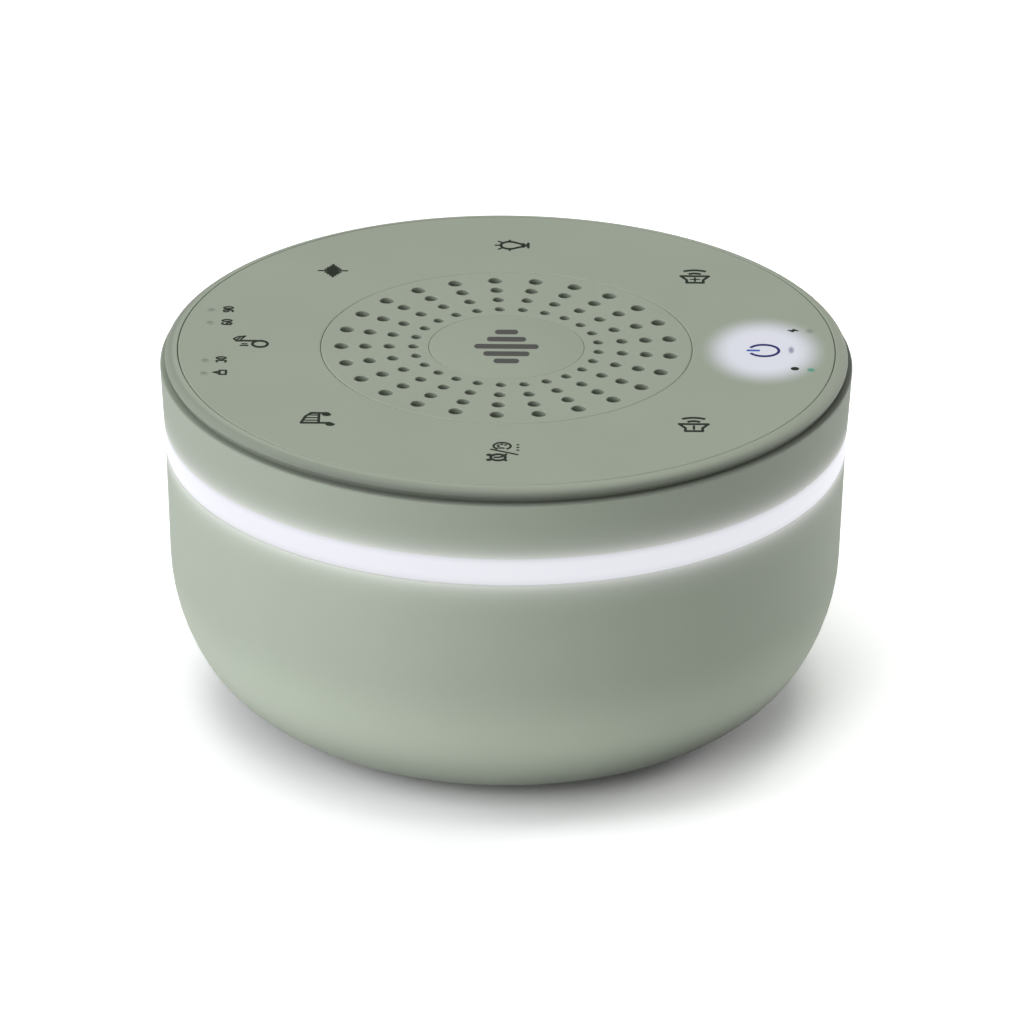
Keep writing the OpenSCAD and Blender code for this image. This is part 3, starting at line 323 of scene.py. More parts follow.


# %% [markdown]
# ## The sweep's finish
# The floor lights the machine as plain white card. The camera sees it a little overexposed, so it runs into
# the white of the room. A painted shadow under the bowl makes the contact with the table, and the floor is
# painted a little lighter towards the right.

# %% Floor finish
floor_finish = bpy.data.materials.new("white_sweep")
floor_finish.use_nodes = True
sweep = floor_finish.node_tree
sweep.nodes.clear()
card, exposed = sweep.nodes.new("ShaderNodeBsdfDiffuse"), sweep.nodes.new("ShaderNodeBsdfDiffuse")
card.inputs["Color"].default_value = (0.93, 0.93, 0.93, 1)
# Painted shadow: a soft dark patch round the bowl's foot. Painted light: the floor lighter towards the right.
contact = use(sweep, patch, X=-3, Y=0, Half_X=54, Half_Y=51, Core=0.68)
painted_light_right = use(sweep, side_fade, Along_X=1, Along_Y=0, From=20, To=70)
glare = math_node(sweep, "MULTIPLY", shade_factor(sweep, contact.outputs[0], -0.5),
                  shade_factor(sweep, painted_light_right.outputs[0], 0.2))
sweep.links.new(tint(sweep, (1.36, 1.36, 1.36), glare), exposed.inputs["Color"])
eye_ray, choose = sweep.nodes.new("ShaderNodeLightPath"), sweep.nodes.new("ShaderNodeMixShader")
sweep.links.new(eye_ray.outputs["Is Camera Ray"], choose.inputs["Fac"])
sweep.links.new(card.outputs[0], choose.inputs[1])
sweep.links.new(exposed.outputs[0], choose.inputs[2])
sweep.links.new(choose.outputs[0], sweep.nodes.new("ShaderNodeOutputMaterial").inputs["Surface"])
floor_mesh.materials.append(floor_finish)
print("floor finish:", floor_finish.name)

# %% Sage shell: soft-touch moulding, with a painted glow from the band at its edges and painted shade and light
# SAGE_WALL is the sage with a touch more blue: a painted sheen on the walls.
SAGE, SAGE_WALL = (0.322, 0.364, 0.286), (0.322, 0.364, 0.291)
Z_BAND_LOW, Z_BAND_HIGH, Z_LIP, Z_TOP = 48.5, 53.5, 63.75, 66.35
# Painted shade and light by height: the upper wall a little darker, painted light from the table on the lower
# bowl, and painted shade near the floor.
PAINTED_HEIGHT_SHADES = ((50.9, 51.1, -0.13), (30, 17, 0.2), (16, 2, -0.42))  # from z, to z, lighter or darker
tree, shader, shade = finish("sage_shell", SAGE_WALL, 0.62, bump=0.006, per_mm=9, sheen=0.05)
shading = 1.0
for z_from, z_to, gain in PAINTED_HEIGHT_SHADES:
    part = use(tree, height_fade, From=z_from, To=z_to)
    shading = math_node(tree, "MULTIPLY", shade_factor(tree, part.outputs[0], gain), shading)
# Painted shade on the ledge in the shadow gap under the lip, at the front and right, and low on the bowl
# towards the right.
ledge, under = use(tree, height_fade, From=63.45, To=63.7), use(tree, height_fade, From=16, To=4)
front, right = use(tree, side_fade), use(tree, side_fade, Along_X=1, Along_Y=0.2, From=20, To=60)
low_right = use(tree, side_fade, Along_X=1, Along_Y=0, From=-5, To=45)
for level, side, gain in ((ledge, front, -0.38), (ledge, right, -0.38), (under, low_right, -0.6)):
    both = math_node(tree, "MULTIPLY", level.outputs[0], side.outputs[0])
    shading = math_node(tree, "MULTIPLY", shade_factor(tree, both, gain), shading)
tree.links.new(tint(tree, shade, shading), shader.inputs["Base Color"])
# Painted glow: the shell gives off light beside the band, dying away above and below it.
painted_band_glow = use(tree, spill, Low=Z_BAND_LOW, High=Z_BAND_HIGH, Fall=1.35)
tree.links.new(tint(tree, (0.34, 0.33, 0.35), painted_band_glow.outputs[0]), shader.inputs["Emission Color"])
shader.inputs["Emission Strength"].default_value = 1

# %% The lip's finish: the same sage, with painted shade where the roll turns under and on its upper left
tree, shader, shade = finish("sage_lip", SAGE, 0.62, bump=0.006, per_mm=9, sheen=0.05)
front = use(tree, side_fade, From=-5, To=55)
left = use(tree, side_fade, Along_X=-1, Along_Y=-0.2, From=-20, To=45)
# Painted shade: the roll's lower part darker at the front, and its top edge darker on the left.
for top, low, side, gain in ((66.2, 65.1, front, -0.52), (66.34, 66.0, left, -0.3)):
    under = math_node(tree, "MULTIPLY", use(tree, height_fade, From=top, To=low).outputs[0], side.outputs[0])
    shade = tint(tree, shade, shade_factor(tree, under, gain))
tree.links.new(shade, shader.inputs["Base Color"])

# %% Panel finish: the glow under the power key, the soft spots of the small lights and the eye, painted shade in holes
GREY = (0.21, 0.235, 0.19)
# Each spot is its place (x, y), its half widths along x and y, and its colour. The status lights come last.
SPOTS = [(-52.2, y, 0.85, 0.95, GREY) for y in (-13.3, -7.8, 8.4, 13.9)]
SPOTS += [(52.95, 8.75, 0.95, 1.2, (0.25, 0.27, 0.23)), (53.05, -8.05, 0.95, 1.1, (0.06, 0.28, 0.19))]


def panel_skin(slot, roughness):
    """The sage of the top. The light pipes and the eye take it too, so that they melt into the panel."""
    tree, shader, shade = finish(slot, SAGE, roughness, bump=0.006, per_mm=9, sheen=0.05)
    masks = [use(tree, patch, X=x, Y=y, Half_X=half_x, Half_Y=half_y, Core=0.3).outputs[0]
             for x, y, half_x, half_y, _ in SPOTS]
    for mask, (*_, colour) in zip(masks, SPOTS):
        shade = mix(tree, mask, shade, colour)
    charge_light, battery_light = masks[-2:]
    # Painted shade: everything below the panel's top face, down in the holes and grooves, is darker.
    painted_pit_shade = use(tree, height_fade, From=66.25, To=66.05)
    shade = tint(tree, shade, shade_factor(tree, painted_pit_shade.outputs[0], -0.3))
    halo = use(tree, patch, X=44.9, Y=-0.2, Half_X=11.5, Half_Y=15.3, Core=0.47)
    eye = use(tree, patch, X=49.65, Y=0.3, Half_X=0.72, Half_Y=2.1, Core=0.25)
    tree.links.new(mix(tree, halo.outputs[0], shade, (0.02, 0.02, 0.02)), shader.inputs["Base Color"])
    lit = tint(tree, mix(tree, eye.outputs[0], (0.66, 0.67, 0.74), (0.27, 0.28, 0.38)), halo.outputs[0])
    lit = mix(tree, mix(tree, charge_light, (0, 0, 0), (0.7, 0.7, 0.7)), lit, (0.012, 0.014, 0.012))
    tree.links.new(mix(tree, battery_light, lit, (0.012, 0.07, 0.05)), shader.inputs["Emission Color"])
    shader.inputs["Emission Strength"].default_value = 1


for slot, roughness in (("sage_panel", 0.6), ("light_pipe", 0.55), ("eye_lens", 0.5)):
    panel_skin(slot, roughness)

# %% Milky band: brightest in the middle of its height
tree, shader, shade = finish("diffuser", (0.15, 0.15, 0.16), 0.35, bump=0.002, per_mm=12)
rise = use(tree, height_fade, From=Z_BAND_LOW - 5, To=50.2)
sink = use(tree, height_fade, From=Z_BAND_HIGH + 3.0, To=52.2)
lamp = math_node(tree, "MULTIPLY", rise.outputs[0], sink.outputs[0])
tree.links.new(tint(tree, (0.66, 0.665, 0.71), lamp), shader.inputs["Emission Color"])
shader.inputs["Emission Strength"].default_value = 1

# %% Plain mouldings, rubber, cloth, metals and boards
finish("print_ink", (0.012, 0.018, 0.009), 0.5, bump=0.002, per_mm=14)
finish("key_ink", (0.020, 0.022, 0.15), 0.5, bump=0.002, per_mm=14)
finish("bar_ink", (0.045, 0.13, 0.46), 0.5, bump=0.002, per_mm=14)
finish("badge_ink", (0.085, 0.088, 0.080), 0.45, bump=0.002, per_mm=14)
finish("base_plastic", (0.27, 0.305, 0.245), 0.7, bump=0.03, per_mm=3)
finish("acoustic_cloth", (0.045, 0.055, 0.040), 0.9, bump=0.12, per_mm=5, sheen=0.2)
finish("foot_rubber", (0.045, 0.045, 0.045), 0.75, bump=0.03, per_mm=4)
finish("surround_rubber", (0.03, 0.03, 0.03), 0.5, bump=0.01)
finish("cone_paper", (0.045, 0.045, 0.047), 0.85, bump=0.05, per_mm=3)
finish("spider_cloth", (0.55, 0.38, 0.14), 0.8, bump=0.06, per_mm=4)
finish("former_film", (0.50, 0.27, 0.07), 0.3, bump=0.002, coat=0.3)
finish("copper", (0.74, 0.36, 0.20), 0.3, bump=0.004, metal=1.0)
finish("plated_steel", (0.62, 0.63, 0.65), 0.28, bump=0.003, per_mm=10, metal=1.0)
finish("ferrite", (0.05, 0.05, 0.055), 0.6, bump=0.03, per_mm=4)
finish("circuit_board", (0.015, 0.13, 0.055), 0.35, bump=0.004, cloud=0.25, coat=0.3)
finish("black_plastic", (0.030, 0.030, 0.032), 0.5, bump=0.01)
finish("chip_plastic", (0.022, 0.022, 0.024), 0.55, bump=0.01)
finish("capacitor_can", (0.75, 0.75, 0.76), 0.25, bump=0.002, metal=1.0)
finish("white_plastic", (0.80, 0.80, 0.77), 0.45, bump=0.004)
finish("lamp_resin", (0.85, 0.80, 0.45), 0.3, bump=0.001)
finish("terminal_board", (0.40, 0.24, 0.09), 0.6, bump=0.01)
finish("cell_sleeve", (0.04, 0.13, 0.34), 0.3, bump=0.004, coat=0.2)
finish("red_wire", (0.55, 0.02, 0.02), 0.35, bump=0.004)
finish("white_wire", (0.75, 0.75, 0.71), 0.4, bump=0.004)
finish("ribbon_film", (0.55, 0.31, 0.06), 0.3, bump=0.002)
print(len(finishes), "finishes")

# %% [markdown]
# ## Dressing the hidden parts
# The speaker, boards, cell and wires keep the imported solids. Each takes the finish of its slot in the record,
# so that the open machine looks right too.

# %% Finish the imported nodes
slot_of = {part["node"]: part["material_slot"] for part in frame["record"]["subparts"]}
for node, solid in frame["nodes"].items():
    solid.data.materials.clear()
    solid.data.materials.append(finishes[slot_of[node]])
print(len(slot_of), "nodes dressed")

# %% [markdown]
# ## Turned shapes
# Nearly everything outside is round, so most pieces are an outline spun about the Z axis, as on a lathe. The
# outline is a wire of corners and arcs; an arc is made by spinning the last corner about the arc's centre,
# and a sharp corner is softened by a vertex bevel before the turn. This gives even rings of faces and true
# tangents.

# %% Turning helpers
STEPS, BOSS_STEPS, MERGE = 224, 32, 1e-7


def turned(path, closed=True, soft=(), steps=STEPS, sweep=360, start=0):
    """Spins a path round the Z axis. (r, z) is a corner; (r, z, degrees) swings the last one about a centre.
    A sweep under 360 degrees gives a sector with closed ends."""
    bm, last, first = bmesh.new(), None, None
    for item in path:
        if len(item) == 2:
            new = bm.verts.new((item[0] * MM, 0, item[1] * MM))
            if last:
                bm.edges.new((last, new))
            last = new
        else:
            swing = bmesh.ops.spin(bm, geom=[last], cent=(item[0] * MM, 0, item[1] * MM), axis=(0, 1, 0),
                                   angle=math.radians(item[2]), steps=max(4, round(abs(item[2]) / 5)))
            last = [v for v in swing["geom_last"] if isinstance(v, bmesh.types.BMVert)][0]
        first = first or last
    if closed:
        bm.edges.new((last, first))
    for (r, z), radius in soft:
        corner = min(bm.verts, key=lambda v: (v.co - Vector((r * MM, 0, z * MM))).length)
        bmesh.ops.bevel(bm, geom=[corner], offset=radius * MM, offset_type="OFFSET", segments=3, profile=0.5,
                        affect="VERTICES", clamp_overlap=True, material=-1)
    if sweep < 360:
        bmesh.ops.contextual_create(bm, geom=bm.edges[:])
        turn = Matrix.Rotation(math.radians(start), 3, "Z")
        bmesh.ops.rotate(bm, cent=(0, 0, 0), matrix=turn, verts=bm.verts)
    bmesh.ops.spin(bm, geom=bm.verts[:] + bm.edges[:] + bm.faces[:], cent=(0, 0, 0), axis=(0, 0, 1),
                   angle=math.radians(sweep), steps=steps, use_merge=sweep == 360)
    bmesh.ops.remove_doubles(bm, verts=bm.verts, dist=MERGE)
    return bm


def joined(*parts):
    """Several meshes as one."""
    whole = parts[0]
    for part in parts[1:]:
        carrier = bpy.data.meshes.new("carrier")
        part.to_mesh(carrier)
        whole.from_mesh(carrier)
        part.free()
        bpy.data.meshes.remove(carrier)
    return whole


def moved(bm, x=0.0, y=0.0, z=0.0, turn=0.0):
    """The mesh turned about Z, in degrees, and then shifted, in millimetres."""
    bmesh.ops.rotate(bm, cent=(0, 0, 0), matrix=Matrix.Rotation(math.radians(turn), 3, "Z"), verts=bm.verts)
    bmesh.ops.translate(bm, vec=(x * MM, y * MM, z * MM), verts=bm.verts)
    return bm


def boss_ring(count, first, ring_r, hole_r, outer_r, z_from, z_to):
    """Screw bosses, short tubes spaced evenly on a circle from the angle first, in degrees."""
    tube = [(hole_r, z_from), (outer_r, z_from), (outer_r, z_to), (hole_r, z_to)]
    angles = [math.radians(first + 360 / count * k) for k in range(count)]
    return [moved(turned(tube, steps=BOSS_STEPS), ring_r * math.cos(a), ring_r * math.sin(a)) for a in angles]


def piece(name, bm, slot, replaces=(), body="housing", finish_name=None, smooth=32):
    """Closes a mesh up as an object at the origin, with its body and its slot's finish or the named one."""
    bmesh.ops.remove_doubles(bm, verts=bm.verts, dist=MERGE)
    bmesh.ops.recalc_face_normals(bm, faces=bm.faces)
    mesh = bpy.data.meshes.new(name)
    bm.to_mesh(mesh)
    bm.free()
    mesh.shade_smooth()
    mesh.set_sharp_from_angle(angle=math.radians(smooth))
    mesh.materials.append(finishes[finish_name or slot])
    made = bpy.data.objects.new(name, mesh)
    scene.collection.objects.link(made)
    if body:
        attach(made, body)
    if replaces:
        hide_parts(*replaces)
    low, high = [[round(f(v.co[i] for v in mesh.vertices) / MM, 2) for i in range(3)] for f in (min, max)]
    print(f"{name}: {len(mesh.polygons)} faces, {low} to {high} mm")
    return made


# %% [markdown]
# ## The bowl
# The lower housing is one moulding: a wall that leans out by two degrees, an upper curve and a tighter base
# curve that run into each other without a crease, and a flat bottom with a ledge for the cover. A cage under
# a subdivision surface would only come near those radii, so the true arcs are turned instead.

# %% Bowl outline
SOCKET_R, TONGUE_R, BORE_R = 57.12, 57.02, 55.52  # where the housings take the tongues of band and lip
Z_SEAM, Z_TONGUE_LOW, Z_TONGUE_HIGH = 48.3, 46.4, 55.6
UPPER_C, UPPER_R = (24.37, 29.50), 34.5  # centre and outer radius of the upper curve
BASE_C, BASE_IN_R = (34.07, 23.90), 20.9  # centre and inner radius of the tighter base curve
WALL_END, CURVES_MEET, FLOOR_END = 1.9, 30.0, 64.1  # degrees below level, seen from the curves' centres
Z_WALL_END, Z_FLOOR, Z_COVER, Z_BOTTOM = 28.356, 5.1, 3.1, 0.6
SEAT_R, HATCH_R, INSIDE_R, Z_INSIDE = 32.97, 28.57, 56.99, 44.8
WALL_TOP_R, WALL_LEAN = 60.4, math.radians(3.3)


def wall_r(z):
    """Outer radius at a height, for the band and the upper wall, which lean out by WALL_LEAN."""
    return WALL_TOP_R - (Z_LIP - z) * math.tan(WALL_LEAN)


seam_r = wall_r(Z_SEAM)
wall_end_r = UPPER_C[0] + UPPER_R * math.cos(math.radians(WALL_END))
floor_end_r = BASE_C[0] + BASE_IN_R * math.cos(math.radians(FLOOR_END))
bowl_path = [(SOCKET_R, Z_SEAM), (seam_r, Z_SEAM), (wall_end_r, Z_WALL_END),
             (*UPPER_C, CURVES_MEET - WALL_END), (*BASE_C, 90 - CURVES_MEET),
             (SEAT_R, Z_BOTTOM), (SEAT_R, Z_COVER), (HATCH_R, Z_COVER), (HATCH_R, Z_FLOOR),
             (floor_end_r, Z_FLOOR), (*BASE_C, CURVES_MEET - FLOOR_END), (*UPPER_C, WALL_END - CURVES_MEET),
             (INSIDE_R, Z_INSIDE), (BORE_R, Z_INSIDE), (BORE_R, Z_TONGUE_LOW), (SOCKET_R, Z_TONGUE_LOW)]
bowl = turned(bowl_path, soft=[((seam_r, Z_SEAM), 0.2), ((SEAT_R, Z_BOTTOM), 0.2), ((SOCKET_R, Z_SEAM), 0.2)])
print("bowl:", len(bowl.faces), "faces")

# %% [markdown]
# ## Cutting the charging recess
# At the back the bowl has an oval recess with the socket in it. An oval is a circle whose two halves are
# pulled apart, so one circle and one move make the cutter. It could be cut by hand with knife and bridge, but
# the wall is curved, and a Boolean follows it exactly. The modifier is used once and its result is kept as a
# plain mesh.

# %% Oval cutters and the cut
def oval(width, height, y_from, y_to, z, segments=34):
    """A solid with an oval outline in the XZ plane, between two places along Y."""
    bm = bmesh.new()
    spin = Matrix.Rotation(math.radians(90), 4, "X") @ Matrix.Rotation(math.pi / segments, 4, "Z")
    bmesh.ops.create_circle(bm, cap_ends=True, segments=segments, radius=height / 2 * MM, matrix=spin)
    for side in (-1, 1):
        half = [v for v in bm.verts if v.co.x * side > 1e-9]
        bmesh.ops.translate(bm, vec=(side * (width - height) / 2 * MM, 0, 0), verts=half)
    bmesh.ops.translate(bm, vec=(0, y_from * MM, z * MM), verts=bm.verts)
    grown = bmesh.ops.extrude_face_region(bm, geom=bm.faces[:])["geom"]
    bmesh.ops.translate(bm, vec=(0, (y_to - y_from) * MM, 0),
                        verts=[v for v in grown if isinstance(v, bmesh.types.BMVert)])
    bmesh.ops.recalc_face_normals(bm, faces=bm.faces)
    return bm


def carved(blank, *cutters):
    """The blank with every cutter taken out of it."""
    bmesh.ops.recalc_face_normals(blank, faces=blank.faces)
    objects = []
    for bm in (blank, *cutters):
        mesh = bpy.data.meshes.new("carving")
        bm.to_mesh(mesh)
        bm.free()
        objects.append(bpy.data.objects.new("carving", mesh))
        scene.collection.objects.link(objects[-1])
    for cutter in objects[1:]:
        cut = objects[0].modifiers.new("cut", "BOOLEAN")
        cut.operation, cut.solver, cut.object = "DIFFERENCE", "EXACT", cutter
    result = bmesh.new()
    result.from_object(objects[0], bpy.context.evaluated_depsgraph_get())
    for thing in objects:
        mesh = thing.data
        bpy.data.objects.remove(thing)
        bpy.data.meshes.remove(mesh)
    return result


PORT_Z, PORT_Y = 31.6, 57.76
bowl = carved(bowl, oval(12.6, 6.6, PORT_Y, 66, PORT_Z), oval(9.14, 3.46, 52, 60, PORT_Z))
piece("bowl_shell", bowl, "sage_shell", ["lower_housing"])

# %% [markdown]
# ## The lit band and the upper wall
# The band is a ring of milky plastic, clamped between the two housings by its tongues. Above it the upper
# housing shows only its short wall; inside it carries the deck with the speaker's bosses. Both are turned in
# one go.

# %% Band
band_foot, band_head = (wall_r(Z_BAND_LOW), Z_BAND_LOW), (wall_r(Z_BAND_HIGH), Z_BAND_HIGH)
band_path = [(BORE_R, Z_TONGUE_LOW), (TONGUE_R, Z_TONGUE_LOW), (TONGUE_R, Z_BAND_LOW), band_foot, band_head,
             (TONGUE_R, Z_BAND_HIGH), (TONGUE_R, Z_TONGUE_HIGH), (BORE_R, Z_TONGUE_HIGH)]
band = turned(band_path, soft=[(band_foot, 0.25), (band_head, 0.12)])
piece("milky_band", band, "diffuser", ["light_band"])

# %% Upper wall with its deck and bosses
Z_DECK, Z_DECK_UNDER, SPEAKER_HOLE_R = 60.95, 58.95, 28.5
deck_path = [(SOCKET_R, Z_BAND_HIGH), band_head, (wall_r(63.55), 63.55), (wall_r(Z_LIP) - 0.2, Z_LIP),
             (SOCKET_R, Z_LIP), (SOCKET_R, Z_DECK), (SPEAKER_HOLE_R, Z_DECK), (SPEAKER_HOLE_R, Z_DECK_UNDER),
             (BORE_R, Z_DECK_UNDER), (BORE_R, Z_TONGUE_HIGH), (SOCKET_R, Z_TONGUE_HIGH)]
deck = turned(deck_path, soft=[(band_head, 0.1)])
bosses = boss_ring(4, 45, 39.6, 1.0, 2.0, 59.5, 62.15) + boss_ring(4, 45, 31.3, 1.0, 2.1, 54.95, 59.5)
piece("upper_wall", joined(deck, *bosses), "sage_shell", ["upper_housing"])

# %% [markdown]
# ## The rolled lip
# The bezel's lip is a roll of 2.8 mm radius that falls away from the flat top, turns round a small lower edge
# and slopes back in under itself. It stands a little back from the wall's top edge, which leaves a dark
# shadow gap; painted shade in the finishes makes it darker still.

# %% Lip
LEAN, LIP_TURN = math.radians(30), math.radians(38)
ROLL_C, ROLL_TO_EDGE, LIP_EDGE, Z_PANEL_BED = (57.3, 63.55), 2.45, 0.35, 64.35
edge_c = (ROLL_C[0] + ROLL_TO_EDGE * math.cos(LIP_TURN), ROLL_C[1] + ROLL_TO_EDGE * math.sin(LIP_TURN))
under_r, under_z = edge_c[0] + LIP_EDGE * math.cos(LEAN), edge_c[1] - LIP_EDGE * math.sin(LEAN)
lip_path = [(55.22, Z_DECK), (TONGUE_R, Z_DECK), (TONGUE_R, Z_LIP),
            (under_r - (under_z - Z_LIP) * math.tan(LEAN), Z_LIP), (under_r, under_z), (*edge_c, -68),
            (*ROLL_C, -50), (57.4, Z_PANEL_BED), (55.22, Z_PANEL_BED)]
lip = turned(lip_path, soft=[((57.4, 66.348), 0.2)])
lip_bosses = boss_ring(6, 22.5, 53, 1.0, 2.4, Z_DECK, 64.3)
piece("rolled_lip", joined(lip, *lip_bosses), "sage_shell", ["top_bezel"], finish_name="sage_lip")

# %% [markdown]
# ## Plates with many holes
# The touch panel and the speaker grille are flat plates full of round holes. Each rim is drawn as a circle,
# grown down and outwards in small steps to give it a rounded edge, and the flat faces are filled between all
# the circles at once. A narrow flat ring round each rim keeps the shading of the large flat face even.

# %% Drilled plates
FLAT_RING = 0.1


def drilled(rims, top, bottom, pocket=None):
    """A plate with rounded rims. rims are (x, y, radius, +1 outside or -1 hole, edge radius, segments)."""
    bm, upper, lower = bmesh.new(), [], []

    def grow(ring, x, y, old, new, drop):
        """Extrudes a ring of edges, to another radius and a little lower."""
        made = bmesh.ops.extrude_edge_only(bm, edges=ring)["geom"]
        verts = [v for v in made if isinstance(v, bmesh.types.BMVert)]
        space = Matrix.Translation((-x * MM, -y * MM, 0))
        bmesh.ops.scale(bm, vec=(new / old, new / old, 1), space=space, verts=verts)
        bmesh.ops.translate(bm, vec=(0, 0, -drop * MM), verts=verts)
        return [e for e in made if isinstance(e, bmesh.types.BMEdge)]

    for x, y, radius, side, edge, segments in rims:
        start = radius - side * (edge + FLAT_RING)
        circle = bmesh.ops.create_circle(bm, segments=segments, radius=start * MM,
                                         matrix=Matrix.Translation((x * MM, y * MM, top * MM)))["verts"]
        ring = list(dict.fromkeys(e for v in circle for e in v.link_edges))
        upper += ring
        ring = grow(ring, x, y, start, radius - side * edge, 0)
        at, down = radius - side * edge, 0.0
        for degrees in (30, 60, 90):
            t = math.radians(degrees)
            new, deep = radius - side * edge * (1 - math.sin(t)), edge * (1 - math.cos(t))
            ring = grow(ring, x, y, at, new, deep - down)
            at, down = new, deep
        if pocket and abs(radius - pocket[0]) < 1e-6:
            ring = grow(ring, x, y, at, at, pocket[1] - down)
            bmesh.ops.triangle_fill(bm, use_beauty=True, edges=ring)
        else:
            lower += grow(ring, x, y, at, at, top - bottom - down)
    for edges in (upper, lower):
        bmesh.ops.triangle_fill(bm, use_beauty=True, edges=edges)
    return bm


# %% Touch panel
LEVEL, RING_STEPS, LIGHT_HOLE_R = Z_TOP - 0.03, 160, 0.66
lights = [(-52.1, y) for y in (-13.6, -8.1, 8.1, 13.6)] + [(53.0, -8.4), (53.0, 8.4), (49.75, 0.0)]
panel_rims = [(0, 0, 57.27, 1, 0.2, STEPS), (0, 0, 32.43, -1, 0.24, RING_STEPS)]
panel_rims += [(x, y, LIGHT_HOLE_R, -1, 0.02, 20) for x, y in lights]
piece("touch_top", drilled(panel_rims, LEVEL, Z_PANEL_BED), "sage_panel", ["touch_panel"])

# %% Speaker grille: four rings of twenty-five holes, larger outwards
HOLE_RINGS, SPOKES, POCKET_R, POCKET_DEEP, DISC_STEPS = 4, 25, 13.6, 0.8, 96
grille_rims = [(0, 0, 32.38, 1, 0.24, RING_STEPS), (0, 0, POCKET_R, -1, 0.12, DISC_STEPS)]
for ring_number in range(HOLE_RINGS):
    r, d = 16.2 + 4.18 * ring_number, 1.9 + 0.23 * ring_number
    for spoke in range(SPOKES):
        a = math.radians(8.8 + spoke * 360 / SPOKES)
        grille_rims.append((r * math.cos(a), r * math.sin(a), d / 2, -1, 0.08, 24))
plate = drilled(grille_rims, LEVEL, Z_TOP - 1.7, pocket=(POCKET_R, POCKET_DEEP))
collar = turned([(30.53, 63.15), (35.2, 63.15), (35.2, Z_PANEL_BED), (32.3, Z_PANEL_BED), (32.3, 64.65),
                 (30.53, 64.65)], steps=RING_STEPS)
piece("grille_plate", joined(plate, collar), "sage_panel", ["speaker_grille"])

# %% [markdown]
# ## The middle disc
# A plain disc sits flush in the middle of the grille. It carries a small mark of five rounded bars, like a
# level meter, which says sound in any language.

# %% Disc
DISC_R, Z_POCKET = 13.56, Z_TOP - POCKET_DEEP
disc = turned([(0, LEVEL), (DISC_R, LEVEL), (DISC_R, Z_POCKET), (0, Z_POCKET)], closed=False,
              soft=[((DISC_R, LEVEL), 0.15)], steps=DISC_STEPS)
piece("middle_disc", disc, "sage_panel", ["centre_disc"])

# %% [markdown]
# ## Printed marks
# The marks are pad-printed in dark ink. They could be a texture, but thin ink shapes stay sharp at any
# distance. Each is drawn flat in its reading direction, with u to the reader's right and v up, from three
# strokes: a bar with round ends, an arc, and a filled shape. Then it is given a hundredth of a millimetre of
# ink and laid on the panel, whose reader sits at +X and reads towards +Y. The strokes are drawn with a broad
# nib, wider across than up, so that they look equally bold from the front, where the lid is foreshortened.

# %% Ink strokes
LINE, THIN, NIB, FINE_NIB = 0.5, 0.42, 1.6, 1.35
INK_DEEP, INK_PROUD, INK_STEP, PRINT_TURN = 0.012, 0.008, 0.0002, 1.0


def bar(u1, v1, u2, v2, width=LINE, nib=NIB):
    """A straight stroke with round ends: a circle whose far half is pulled along, stretched to the nib."""
    bm, along = bmesh.new(), Vector(((u2 - u1) / nib, v2 - v1, 0))
    aim = Matrix.Rotation(math.atan2(along.y, along.x) + math.pi / 12, 4, "Z")
    lay = Matrix.Translation((u1 / nib, v1, 0)) @ aim
    verts = bmesh.ops.create_circle(bm, cap_ends=True, segments=12, radius=width / 2, matrix=lay)["verts"]
    far = [v for v in verts if (v.co - lay.translation).dot(along) > 0]
    bmesh.ops.translate(bm, vec=along, verts=far)
    bmesh.ops.scale(bm, vec=(nib, 1, 1), verts=bm.verts)
    return [bm]


def chain(*corners, width=LINE, nib=NIB):
    """Straight strokes from corner to corner."""
    return [bm for a, b in zip(corners, corners[1:]) for bm in bar(*a, *b, width, nib)]


def arc(u, v, radius, start=0, end=360, width=LINE, stretch=1.0, nib=NIB):
    """A curved stroke: a short edge swung round a centre, then each rim brought to its own radii."""
    bm, a = bmesh.new(), math.radians(start)
    ends = [bm.verts.new((r * math.cos(a), r * math.sin(a), 0)) for r in (1, 2)]
    bmesh.ops.spin(bm, geom=ends + [bm.edges.new(ends)], cent=(0, 0, 0), axis=(0, 0, 1),
                   angle=math.radians(end - start), steps=max(4, round(abs(end - start) / 12)))
    rims = [[v for v in bm.verts if abs(v.co.length - r) < 0.5] for r in (1, 2)]
    for rim, r, side in zip(rims, (1, 2), (-0.5, 0.5)):
        wide, tall = (radius + side * width * nib) / r, (radius * stretch + side * width) / r
        bmesh.ops.scale(bm, vec=(wide, tall, 1), verts=rim)
    bmesh.ops.translate(bm, vec=(u, v, 0), verts=bm.verts)
    return [bm]


def blob(u, v, radius, stretch=1.0):
    """A round spot of ink."""
    bm = bmesh.new()
    bmesh.ops.create_circle(bm, cap_ends=True, segments=20, radius=radius)
    bmesh.ops.scale(bm, vec=(1, stretch, 1), verts=bm.verts)
    bmesh.ops.translate(bm, vec=(u, v, 0), verts=bm.verts)
    return [bm]


def shape(*corners):
    """A filled shape through its corners."""
    bm = bmesh.new()
    bm.faces.new([bm.verts.new((u, v, 0)) for u, v in corners])
    return [bm]


